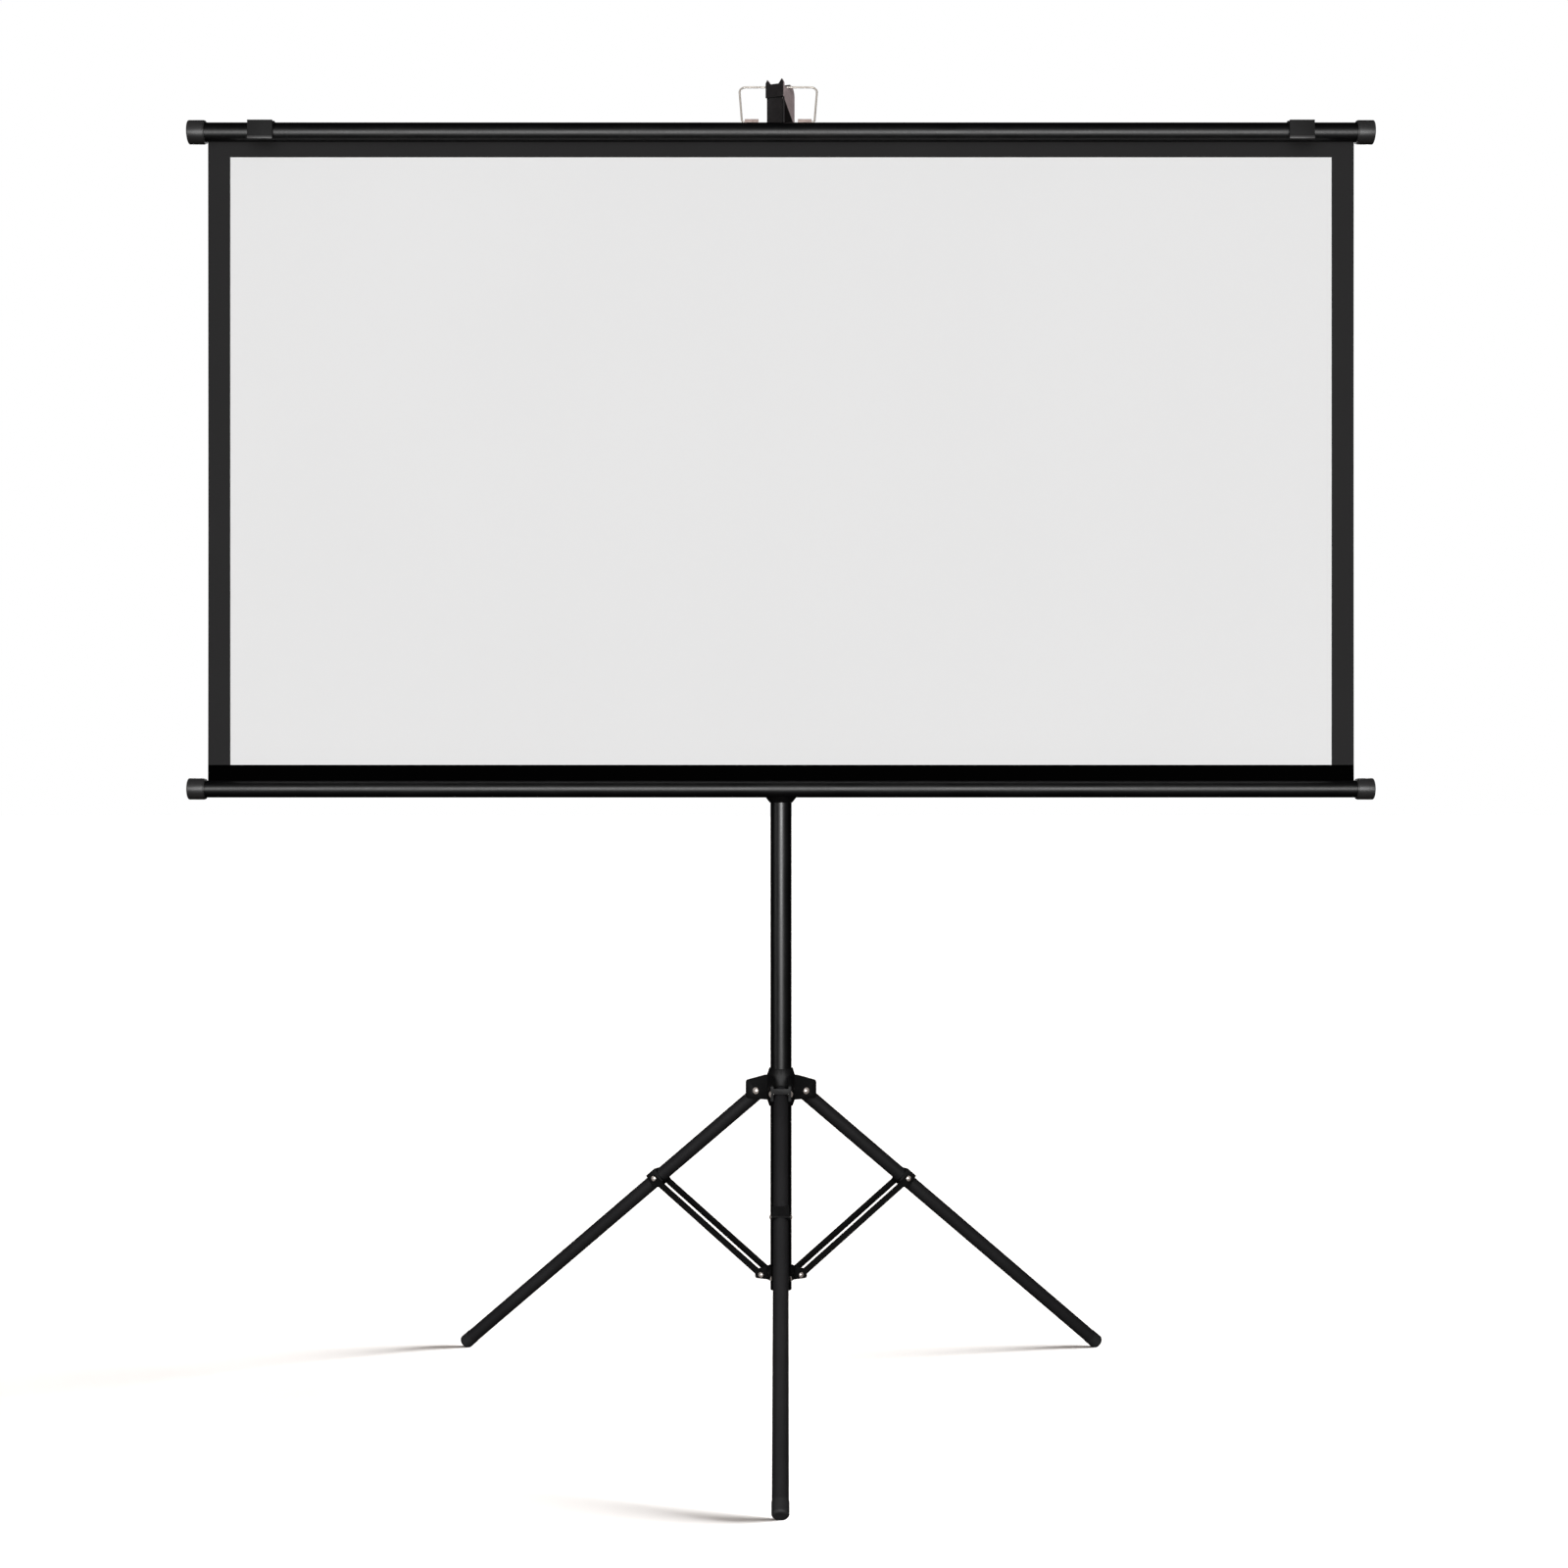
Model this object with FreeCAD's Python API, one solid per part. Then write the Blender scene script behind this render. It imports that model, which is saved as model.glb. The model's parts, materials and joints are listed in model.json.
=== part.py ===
"""Portable projection screen on a folding tripod, in millimetres.

The frame stands on Z = 0, with X across the screen, -Y towards the viewers
and +Z up. The pieces are built about the pole's axis and then moved back by
pole_y, so that the origin is the middle of the footprint.
"""
import FreeCAD, Part
import math
import os

V = FreeCAD.Vector
ORIGIN = V(0, 0, 0)
X_AXIS = V(1, 0, 0)
Y_AXIS = V(0, 1, 0)
Z_AXIS = V(0, 0, 1)

# Fits shared by all pieces
slide_fit = 0.05
free_gap = 0.3
overrun = 4.0
same_size = 0.001

# Pole
pole_od = 31.0
pole_wall = 1.2
pole_foot_z = 157.0
pole_length = 900.0
pole_plug_depth = 18.0
pole_plug_flange = 2.5

# Legs, azimuths in degrees from +X
leg_azimuths = {"front": -90.0, "right": 30.0, "left": 150.0}
leg_od = 21.0
leg_wall = 1.2
leg_angle = 38.77
leg_folded_angle = 87.0
leg_past_pin = 5.0
leg_plug_depth = 12.0
leg_plug_cap = 2.0
foot_length = 20.0
foot_proud = 0.5
foot_spigot = 22.0
foot_round = 4.0
sole_cut = 1.0

# Pins and rivets
hub_pin_r = 3.0
hub_head_r = 5.0
hub_head_height = 2.8
strut_pin_r = 2.2
strut_head_r = 4.0
strut_head_height = 2.0
fixing_r = 1.6
fixing_head_r = 3.0
fixing_head_height = 1.2

# Leg hub
hub_pin_z = 444.0
hub_wall = 4.9
hub_ear_reach = 14.05
hub_ear_end = 17.0
hub_ear_thick = 3.9
hub_body_below = 11.7
hub_body_above = 24.4
hub_ear_above = 15.0
hub_neck = 9.8
hub_skirt = 8.8
hub_neck_wall = 1.8
hub_ear_round = 5.0
hub_web_thick = 2.0
hub_web_above = 2.2

# Lower collar
collar_pin_z = 175.0
collar_wall = 4.5
collar_ear_reach = 6.25
collar_ear_end = 11.0
collar_ear_thick = 3.9
collar_below = 6.0
collar_above = 13.7
collar_ear_above = 7.0
collar_round = 1.5
collar_ear_round = 3.0

# Struts
strut_along_leg = 230.0
strut_height = 9.6
strut_thick = 2.0
saddle_length = 20.0
saddle_wall = 1.0
saddle_round = 0.8

# Lock knobs
knob_screw_r = 3.0
knob_boss_r = 7.5
knob_boss_length = 4.0
knob_neck_r = 7.0
knob_neck_length = 2.0
knob_grip_r = 12.5
knob_grip_length = 9.0
knob_lobes = 7
knob_scallop_r = 4.5
knob_scallop_depth = 2.0
knob_round = 1.5

# Extension tube, its guide, glide and lock collar
extension_od = 25.0
extension_wall = 1.2
extension_overlap = 90.0
extension_stop_gap = 8.0
glide_length = 24.0
guide_depth = 28.0
guide_flange = 3.0
lock_collar_height = 34.0
lock_collar_wall = 4.5

# Bracket that carries the case
bracket_bush_wall = 2.75
bracket_bush_length = 11.0
bracket_wall = 3.2
bracket_height_above = 29.0
bracket_flare_r = 22.5
bracket_flare_height = 7.5
bracket_lip_r = 16.5
bracket_pad_depth = 2.2
bracket_pad_width = 40.0
bracket_pad_height = 24.0
bracket_knob_above = 12.0

# Pivot and cradle behind the case
pivot_r = 5.0
pivot_flange_r = 8.0
pivot_flange_thick = 2.0
cradle_thick = 2.5
cradle_width = 84.0
cradle_height = 24.0
cradle_rivet_x = 32.0
cradle_round = 4.0

# Case and roller
case_drop = 170.6
case_od = 25.0
case_wall = 1.0
case_cap_wall = 3.0
slot_width = 4.0
roller_od = 14.0
roller_wall = 0.7
wrap_build = 0.7
roller_plug_flange = 2.0
roller_plug_depth = 20.0
axle_r = 2.5
axle_in_cap = 6.5
cap_boss = 8.0
spring_rod_past = 3.2
spring_inset = 32.0
spring_length = 300.0
spring_wire = 2.0
spring_stop_r = 5.5
spring_stop_length = 6.0

# Bars across the screen
bar_overhang = 28.0
cap_length = 25.0
cap_end_wall = 2.5
cap_round = 2.5
screen_height = 949.4
top_od = 28.0
top_wall = 1.2
top_cap_wall = 3.2
hem_rod_r = 3.2

# Screen fabric
fabric_width = 1657.0
fabric_thick = 0.4

# Clips on the top bar
clip_inset = 106.5
clip_length = 36.0
clip_wall = 2.2
clip_mouth_angle = 44.0
clip_plate_gap = 0.8
clip_plate_thick = 3.4
clip_plate_rise = 13.4
clip_lip = 1.2
clip_lip_height = 3.8

# Bail, its lugs and the hook
bail_x = -4.0
bail_wire_r = 1.5
bail_top_half = 57.0
bail_foot_half = 52.5
bail_foot_bend = 3.0
bail_bend = 9.0
bail_rise = 74.2
bail_in_lug = 16.0
lug_lean = 20.0
lug_reach = 3.8
lug_side = 7.0
lug_length = 20.0
lug_inner_x = 28.5
hook_yaw = -23.0
hook_width = 28.0
hook_lip = 5.0
hook_throat = 19.5
hook_back = 18.0
hook_back_rise = 4.0
hook_back_round = 14.0
hook_foot_rise = 14.7
hook_seat_drop = 0.3
hook_top_rise = 75.2
hook_horn_height = 7.0
hook_horn_width = 7.5
hook_horn_tip = 2.6
hook_horn_drop = 5.0
hook_lip_height = 19.0
hook_neck_recess = 3.0
hook_neck_step = 3.0
hook_chamfer = 11.0
hook_spigot = 30.0
hook_rivet_drop = 14.0

# Sizes worked out from the ones above
pole_r = pole_od / 2
pole_bore_r = pole_r - pole_wall
pole_top_z = pole_foot_z + pole_length
sleeve_bore_r = pole_r + slide_fit

leg_r = leg_od / 2
leg_bore_r = leg_r - leg_wall
ear_inner = leg_r + free_gap
ear_outer = ear_inner + hub_ear_thick
saddle_half = leg_r + saddle_wall
strut_inner = saddle_half + free_gap
strut_outer = strut_inner + strut_thick

hub_r = sleeve_bore_r + hub_wall
hub_pin_x = hub_r + hub_ear_reach
hub_ear_x = hub_pin_x + hub_ear_end
hub_low_z = hub_pin_z - hub_body_below
hub_high_z = hub_pin_z + hub_body_above

collar_r = sleeve_bore_r + collar_wall
collar_pin_x = collar_r + collar_ear_reach
collar_low_z = collar_pin_z - collar_below
collar_high_z = collar_pin_z + collar_above
collar_ear_outer = strut_inner - free_gap
collar_ear_inner = collar_ear_outer - collar_ear_thick

foot_r = leg_r + foot_proud
leg_tilt = math.radians(leg_angle)
foot_end_z = (
    (foot_r - foot_round) * math.cos(leg_tilt)
    + foot_round * (1 - math.sin(leg_tilt))
    - sole_cut
)
leg_length = (hub_pin_z - foot_end_z) / math.sin(leg_tilt)
foot_reach = hub_pin_x + leg_length * math.cos(leg_tilt)

strut_top_x = hub_pin_x + strut_along_leg * math.cos(leg_tilt)
strut_top_z = hub_pin_z - strut_along_leg * math.sin(leg_tilt)
strut_length = math.hypot(strut_top_x - collar_pin_x, strut_top_z - collar_pin_z)
strut_angle = math.degrees(
    math.atan2(strut_top_z - collar_pin_z, strut_top_x - collar_pin_x)
)

# The fold: the hub rises until the legs hang beside the pole
folded_tilt = math.radians(leg_folded_angle)
folded_top_x = hub_pin_x + strut_along_leg * math.cos(folded_tilt)
folded_strut_tilt = math.acos((folded_top_x - collar_pin_x) / strut_length)
hub_travel = (
    collar_pin_z
    + strut_length * math.sin(folded_strut_tilt)
    + strut_along_leg * math.sin(folded_tilt)
    - hub_pin_z
)

case_z = pole_top_z - case_drop
top_z = case_z + screen_height
bail_top_z = top_z + bail_rise
hook_foot_z = top_z + hook_foot_rise
hook_top_z = top_z + hook_top_rise
bar_length = fabric_width + 2 * bar_overhang
clip_x = bar_length / 2 - clip_inset

extension_r = extension_od / 2
extension_bore_r = extension_r - extension_wall
extension_low_z = pole_top_z - extension_overlap
# Fully lowered, the glide stops just above the pole's plug
extension_travel = (
    pole_length - pole_plug_depth - extension_stop_gap - glide_length - extension_overlap
)

case_r = case_od / 2
case_bore_r = case_r - case_wall
bracket_bore_r = sleeve_bore_r + bracket_bush_wall
bracket_r = bracket_bore_r + bracket_wall
bracket_low_z = case_z - case_r
bracket_high_z = case_z + bracket_height_above
pad_y = -(bracket_r + bracket_pad_depth)
cradle_back_y = pad_y - free_gap
cradle_front_y = cradle_back_y - cradle_thick
screen_y = cradle_front_y - case_r

half_bar = bar_length / 2
cap_wall_x = half_bar - cap_end_wall
cap_boss_x = cap_wall_x - cap_boss
roller_r = roller_od / 2
roller_bore_r = roller_r - roller_wall
wrap_r = roller_r + wrap_build
roller_end_x = cap_boss_x - free_gap
roller_tube_x = roller_end_x - roller_plug_flange

top_r = top_od / 2
top_bore_r = top_r - top_wall
fabric_low_z = case_z + wrap_r + free_gap
fabric_high_z = top_z - top_bore_r - free_gap

lug_angle = math.radians(lug_lean)
lug_axis_y = screen_y + (top_r + lug_reach) * math.sin(lug_angle)
lug_axis_z = top_z + (top_r + lug_reach) * math.cos(lug_angle)
hook_front = hook_lip + hook_throat
hook_throat_z = bail_top_z - bail_wire_r - hook_seat_drop
hook_lip_low_z = hook_top_z - hook_lip_height
bail_top_y = -hook_throat / 2 * math.cos(math.radians(hook_yaw))


def horizontal_reach(cosine):
    """How far a rounded foot reaches past the pole in a level direction."""
    side = math.sqrt(1 - cosine ** 2)
    along = hub_pin_x + leg_length * math.cos(leg_tilt)
    share = cosine / math.cos(leg_tilt)
    return along * share - foot_round * cosine + (foot_r - foot_round) * side + foot_round


rear_cosine = math.cos(leg_tilt) * math.sin(math.radians(leg_azimuths["right"]))
front_reach = horizontal_reach(math.cos(leg_tilt))
rear_reach = horizontal_reach(rear_cosine)
pole_y = (front_reach - rear_reach) / 2


def rod(radius, start, end):
    """A round bar from one point to another."""
    return Part.makeCylinder(radius, (end - start).Length, start, end - start)


def tube(outer, inner, start, end):
    """A straight round tube from one point to another."""
    past = (end - start).normalize() * overrun
    return rod(outer, start, end).cut(rod(inner, start - past, end + past))


def block(low, high):
    """A box between two corners."""
    size = high - low
    return Part.makeBox(size.x, size.y, size.z, low)


def lathe(profile):
    """A solid turned about Z from (radius, height) points."""
    points = [V(radius, 0, height) for radius, height in profile]
    face = Part.Face(Part.makePolygon(points + points[:1]))
    return face.revolve(ORIGIN, Z_AXIS, 360)


def plate(outline, low_y, high_y):
    """A flat plate with an outline of (x, z) points between two Y values."""
    points = [V(x, low_y, z) for x, z in outline]
    face = Part.Face(Part.makePolygon(points + points[:1]))
    return face.extrude(V(0, high_y - low_y, 0))


def round_edges(shape, radius, wanted):
    """Fillet the edges that a test picks."""
    return shape.makeFillet(radius, [edge for edge in shape.Edges if wanted(edge)])


def is_circle(edge, radius):
    """Tell whether an edge is a full circle of a radius."""
    curve = edge.Curve
    return isinstance(curve, Part.Circle) and abs(curve.Radius - radius) < same_size


def runs_along(edge, axis):
    """Tell whether an edge is a straight line along an axis."""
    if not isinstance(edge.Curve, Part.Line):
        return False
    return abs(abs(edge.Curve.Direction.dot(axis)) - 1) < same_size


def dome(radius, height, base, direction):
    """A rivet's round head, the cap of a ball, standing on a point."""
    ball_r = (radius ** 2 + height ** 2) / (2 * height)
    half_angle = math.asin(radius / ball_r) / 2
    centre_z = height - ball_r
    middle = V(ball_r * math.sin(half_angle), 0, centre_z + ball_r * math.cos(half_angle))
    edges = [
        Part.LineSegment(ORIGIN, V(radius, 0, 0)).toShape(),
        Part.Arc(V(radius, 0, 0), middle, V(0, 0, height)).toShape(),
        Part.LineSegment(V(0, 0, height), ORIGIN).toShape(),
    ]
    head = Part.Face(Part.Wire(edges)).revolve(ORIGIN, Z_AXIS, 360)
    head.Placement = FreeCAD.Placement(base, FreeCAD.Rotation(Z_AXIS, direction))
    return head


def rivet(radius, head_r, head_height, start, end):
    """A pin with a domed head outside each end of its span."""
    way = (end - start).normalize()
    pin = rod(radius, start, end)
    near = dome(head_r, head_height, start, way * -1)
    far = dome(head_r, head_height, end, way)
    return pin.fuse([near, far]).removeSplitter()


def bent_rod(points, bends, radius):
    """A round wire along straight runs joined by tangent arcs of given radii."""
    edges = []
    last = points[0]
    for before, corner, after, bend in zip(points, points[1:], points[2:], bends):
        into = (corner - before).normalize()
        out = (after - corner).normalize()
        half_turn = into.getAngle(out) / 2
        setback = bend * math.tan(half_turn)
        start = corner - into * setback
        end = corner + out * setback
        inward = (out - into).normalize() * (bend / math.cos(half_turn) - bend)
        edges.append(Part.LineSegment(last, start).toShape())
        edges.append(Part.Arc(start, corner + inward, end).toShape())
        last = end
    edges.append(Part.LineSegment(last, points[-1]).toShape())
    first_way = (points[1] - points[0]).normalize()
    section = Part.Wire(Part.makeCircle(radius, points[0], first_way))
    return Part.Wire(edges).makePipeShell([section], True, False)


def around(shape, azimuth):
    """A copy of a shape turned about the pole."""
    turned = shape.copy()
    turned.rotate(ORIGIN, Z_AXIS, azimuth)
    return turned


def on_pin(shape, pin_x, pin_z, tilt, azimuth):
    """Put a piece made along +X from its pin at the origin on its real pin."""
    placed = shape.copy()
    placed.rotate(ORIGIN, Y_AXIS, tilt)
    placed.translate(V(pin_x, 0, pin_z))
    return around(placed, azimuth)


# Pole, its plug and the lower collar


def make_pole():
    """The main tube."""
    return tube(pole_r, pole_bore_r, V(0, 0, pole_foot_z), V(0, 0, pole_top_z))


def make_pole_plug():
    """The plug that closes the pole's lower end."""
    flange = rod(pole_r, V(0, 0, pole_foot_z - pole_plug_flange), V(0, 0, pole_foot_z))
    spigot_r = pole_bore_r - slide_fit
    spigot = rod(spigot_r, V(0, 0, pole_foot_z), V(0, 0, pole_foot_z + pole_plug_depth))
    return flange.fuse(spigot).removeSplitter()


def ear_pair(outline, inner, outer, pin_x, pin_z, pin_radius, end_x, rounding):
    """Two ears with a pin's hole through both, along +X."""
    ears = []
    for low_y, high_y in ((inner, outer), (-outer, -inner)):
        ear = plate(outline, low_y, high_y)
        ear = round_edges(
            ear,
            rounding,
            lambda edge: runs_along(edge, Y_AXIS)
            and abs(edge.CenterOfMass.x - end_x) < same_size,
        )
        hole = rod(
            pin_radius,
            V(pin_x, low_y - overrun, pin_z),
            V(pin_x, high_y + overrun, pin_z),
        )
        ears.append(ear.cut(hole))
    return ears


def make_lower_collar():
    """The fixed collar that carries the struts, with three pairs of ears."""
    body = rod(collar_r, V(0, 0, collar_low_z), V(0, 0, collar_high_z))
    body = round_edges(body, collar_round, lambda edge: is_circle(edge, collar_r))
    end_x = collar_pin_x + collar_ear_end
    outline = [
        (0, collar_low_z),
        (end_x, collar_low_z),
        (end_x, collar_pin_z + collar_ear_above),
        (collar_r, collar_high_z - collar_round),
        (0, collar_high_z - collar_round),
    ]
    ears = ear_pair(
        outline,
        collar_ear_inner,
        collar_ear_outer,
        collar_pin_x,
        collar_pin_z,
        strut_pin_r,
        end_x,
        collar_ear_round,
    )
    parts = [around(ear, azimuth) for azimuth in leg_azimuths.values() for ear in ears]
    body = body.fuse(parts)
    bore = rod(
        pole_r,
        V(0, 0, collar_low_z - overrun),
        V(0, 0, collar_high_z + overrun),
    )
    screw = rod(fixing_r, V(0, 0, collar_pin_z), V(0, collar_r + overrun, collar_pin_z))
    return body.cut([bore, screw]).removeSplitter()


def make_collar_rivets():
    """The three rivets on which the struts' lower ends turn."""
    pin = rivet(
        strut_pin_r,
        strut_head_r,
        strut_head_height,
        V(collar_pin_x, -strut_outer - slide_fit, collar_pin_z),
        V(collar_pin_x, strut_outer + slide_fit, collar_pin_z),
    )
    return Part.makeCompound([around(pin, azimuth) for azimuth in leg_azimuths.values()])


def make_collar_screw():
    """The screw that fixes the collar on the pole."""
    shank = rod(fixing_r, V(0, pole_r, collar_pin_z), V(0, collar_r, collar_pin_z))
    head = dome(fixing_head_r, fixing_head_height, V(0, collar_r, collar_pin_z), Y_AXIS)
    return shank.fuse(head).removeSplitter()


# Leg hub


def make_leg_hub():
    """The sliding hub with three pairs of ears and a boss for its knob."""
    neck_r = sleeve_bore_r + hub_neck_wall
    body = lathe(
        [
            (0, hub_low_z - hub_skirt),
            (neck_r, hub_low_z - hub_skirt),
            (hub_r, hub_low_z),
            (hub_r, hub_high_z),
            (neck_r, hub_high_z + hub_neck),
            (0, hub_high_z + hub_neck),
        ]
    )
    outline = [
        (0, hub_low_z),
        (hub_ear_x, hub_low_z),
        (hub_ear_x, hub_pin_z + hub_ear_above),
        (hub_r, hub_high_z),
        (0, hub_high_z),
    ]
    ears = ear_pair(
        outline,
        ear_inner,
        ear_outer,
        hub_pin_x,
        hub_pin_z,
        hub_pin_r,
        hub_ear_x,
        hub_ear_round,
    )
    web = block(
        V(hub_ear_x - hub_web_thick, -ear_outer, hub_pin_z + hub_web_above),
        V(hub_ear_x, ear_outer, hub_pin_z + hub_ear_above - hub_ear_round),
    )
    forks = ears + [web]
    parts = [around(fork, azimuth) for azimuth in leg_azimuths.values() for fork in forks]
    boss = rod(
        knob_boss_r,
        V(0, 0, hub_pin_z),
        V(0, hub_r + knob_boss_length, hub_pin_z),
    )
    body = body.fuse(parts + [boss])
    bore = rod(
        sleeve_bore_r,
        V(0, 0, hub_low_z - hub_skirt - overrun),
        V(0, 0, hub_high_z + hub_neck + overrun),
    )
    return body.cut([bore, knob_hole(hub_r, hub_pin_z)]).removeSplitter()


def make_hub_rivets():
    """The three rivets on which the legs turn."""
    pin = rivet(
        hub_pin_r,
        hub_head_r,
        hub_head_height,
        V(hub_pin_x, -ear_outer, hub_pin_z),
        V(hub_pin_x, ear_outer, hub_pin_z),
    )
    return Part.makeCompound([around(pin, azimuth) for azimuth in leg_azimuths.values()])


# Lock knobs, which point backwards


def knob_hole(sleeve_r, z):
    """The running hole for a knob's screw through a boss."""
    far = sleeve_r + knob_boss_length + overrun
    return rod(knob_screw_r + slide_fit, V(0, 0, z), V(0, far, z))


def make_knob(sleeve_r, z):
    """A lobed lock knob with its screw, behind a sleeve of a radius."""
    face_y = sleeve_r + knob_boss_length + free_gap
    grip_y = face_y + knob_neck_length
    end_y = grip_y + knob_grip_length
    screw = rod(knob_screw_r, V(0, pole_r + free_gap, z), V(0, grip_y, z))
    neck = rod(knob_neck_r, V(0, face_y, z), V(0, grip_y, z))
    grip = rod(knob_grip_r, V(0, grip_y, z), V(0, end_y, z))
    grip = round_edges(grip, knob_round, lambda edge: is_circle(edge, knob_grip_r))
    away = knob_grip_r + knob_scallop_r - knob_scallop_depth
    cuts = []
    for lobe in range(knob_lobes):
        angle = 2 * math.pi * lobe / knob_lobes
        x = away * math.cos(angle)
        lobe_z = z + away * math.sin(angle)
        cuts.append(
            rod(
                knob_scallop_r,
                V(x, grip_y - overrun, lobe_z),
                V(x, end_y + overrun, lobe_z),
            )
        )
    return screw.fuse([neck, grip.cut(cuts)]).removeSplitter()


# Legs and struts, made along +X from their pins


def make_leg_tube():
    """A leg's tube with the hole for its rivet."""
    body = tube(
        leg_r,
        leg_bore_r,
        V(-leg_past_pin, 0, 0),
        V(leg_length - foot_length, 0, 0),
    )
    hole = rod(hub_pin_r + slide_fit, V(0, -leg_od, 0), V(0, leg_od, 0))
    return body.cut(hole)


def make_leg_plug():
    """The plug in a leg's upper end, notched for the rivet."""
    cap = rod(leg_r, V(-leg_past_pin - leg_plug_cap, 0, 0), V(-leg_past_pin, 0, 0))
    cap = round_edges(
        cap,
        leg_plug_cap / 2,
        lambda edge: is_circle(edge, leg_r)
        and edge.CenterOfMass.x < -leg_past_pin - same_size,
    )
    spigot = rod(
        leg_bore_r - slide_fit,
        V(-leg_past_pin, 0, 0),
        V(-leg_past_pin + leg_plug_depth, 0, 0),
    )
    notch = rod(hub_pin_r + free_gap, V(0, -leg_od, 0), V(0, leg_od, 0))
    return cap.fuse(spigot).cut(notch).removeSplitter()


def make_foot():
    """A leg's rubber foot before its sole is cut."""
    start_x = leg_length - foot_length
    tip = rod(foot_r, V(start_x, 0, 0), V(leg_length, 0, 0))
    tip = round_edges(
        tip,
        foot_round,
        lambda edge: is_circle(edge, foot_r) and edge.CenterOfMass.x > start_x + same_size,
    )
    spigot = rod(
        leg_bore_r - slide_fit,
        V(start_x - foot_spigot, 0, 0),
        V(start_x, 0, 0),
    )
    return tip.fuse(spigot).removeSplitter()


def cut_sole(foot):
    """Cut a placed foot flat where it meets the floor."""
    span = foot_reach + leg_length
    below = block(V(-span, -span, -leg_length), V(span, span, 0))
    return foot.cut(below)


def make_saddle():
    """The moulding on a leg to which the strut's upper end is pinned."""
    low = V(strut_along_leg - saddle_length / 2, -saddle_half, -saddle_half)
    high = V(strut_along_leg + saddle_length / 2, saddle_half, saddle_half)
    body = block(low, high)
    body = round_edges(body, saddle_round, lambda edge: runs_along(edge, Y_AXIS))
    bore = rod(
        leg_r + slide_fit,
        V(low.x - overrun, 0, 0),
        V(high.x + overrun, 0, 0),
    )
    return body.cut(bore)


def make_strut():
    """The two flat strips of a strut, either side of the leg."""
    strips = []
    for low_y, high_y in ((strut_inner, strut_outer), (-strut_outer, -strut_inner)):
        half = strut_height / 2
        strip = block(V(0, low_y, -half), V(strut_length, high_y, half))
        ends = [rod(half, V(x, low_y, 0), V(x, high_y, 0)) for x in (0, strut_length)]
        strip = strip.fuse(ends).removeSplitter()
        lower = rod(strut_pin_r + slide_fit, V(0, -leg_od, 0), V(0, leg_od, 0))
        upper = rod(strut_pin_r, V(strut_length, -leg_od, 0), V(strut_length, leg_od, 0))
        strips.append(strip.cut([lower, upper]))
    return Part.makeCompound(strips)


def make_strut_rivets():
    """The rivets in the strips' upper ends, which meet the saddle."""
    rivets = []
    for side in (1, -1):
        inner = V(strut_length, side * strut_inner, 0)
        outer = V(strut_length, side * strut_outer, 0)
        head = dome(strut_head_r, strut_head_height, outer, Y_AXIS * side)
        rivets.append(rod(strut_pin_r, inner, outer).fuse(head).removeSplitter())
    return Part.makeCompound(rivets)


# Extension tube, its guide at the pole's top, its glide and its lock collar


def make_extension_tube():
    """The inner tube that carries the hook."""
    body = tube(
        extension_r,
        extension_bore_r,
        V(0, 0, extension_low_z),
        V(0, 0, hook_foot_z),
    )
    z = hook_foot_z - hook_rivet_drop
    return body.cut(rod(fixing_r, V(0, -extension_od, z), V(0, extension_od, z)))


def make_extension_glide():
    """The plastic glide on the extension's lower end, inside the pole."""
    foot = rod(
        pole_bore_r - slide_fit,
        V(0, 0, extension_low_z - glide_length),
        V(0, 0, extension_low_z),
    )
    spigot = rod(
        extension_bore_r - slide_fit,
        V(0, 0, extension_low_z),
        V(0, 0, extension_low_z + glide_length),
    )
    return foot.fuse(spigot).removeSplitter()


def make_guide_bush():
    """The bush in the pole's mouth that the extension slides in."""
    liner = rod(
        pole_bore_r - slide_fit,
        V(0, 0, pole_top_z - guide_depth),
        V(0, 0, pole_top_z),
    )
    flange = rod(pole_r, V(0, 0, pole_top_z), V(0, 0, pole_top_z + guide_flange))
    bore = rod(
        extension_r + slide_fit,
        V(0, 0, pole_top_z - guide_depth - overrun),
        V(0, 0, pole_top_z + guide_flange + overrun),
    )
    return liner.fuse(flange).cut(bore).removeSplitter()


def lock_collar_r():
    """The outer radius of the collar at the pole's top."""
    return sleeve_bore_r + lock_collar_wall


def lock_knob_z():
    """The height of the extension's lock knob."""
    return pole_top_z - lock_collar_height / 2


def make_lock_collar():
    """The collar at the pole's top, with the boss for its knob."""
    radius = lock_collar_r()
    low_z = pole_top_z - lock_collar_height
    body = rod(radius, V(0, 0, low_z), V(0, 0, pole_top_z))
    body = round_edges(body, collar_round, lambda edge: is_circle(edge, radius))
    boss = rod(
        knob_boss_r,
        V(0, 0, lock_knob_z()),
        V(0, radius + knob_boss_length, lock_knob_z()),
    )
    bore = rod(pole_r, V(0, 0, low_z - overrun), V(0, 0, pole_top_z + overrun))
    return body.fuse(boss).cut([bore, knob_hole(radius, lock_knob_z())]).removeSplitter()


# Bracket that turns on the pole and carries the case


def bracket_knob_z():
    """The height of the bracket's lock knob."""
    return case_z + bracket_knob_above


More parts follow.
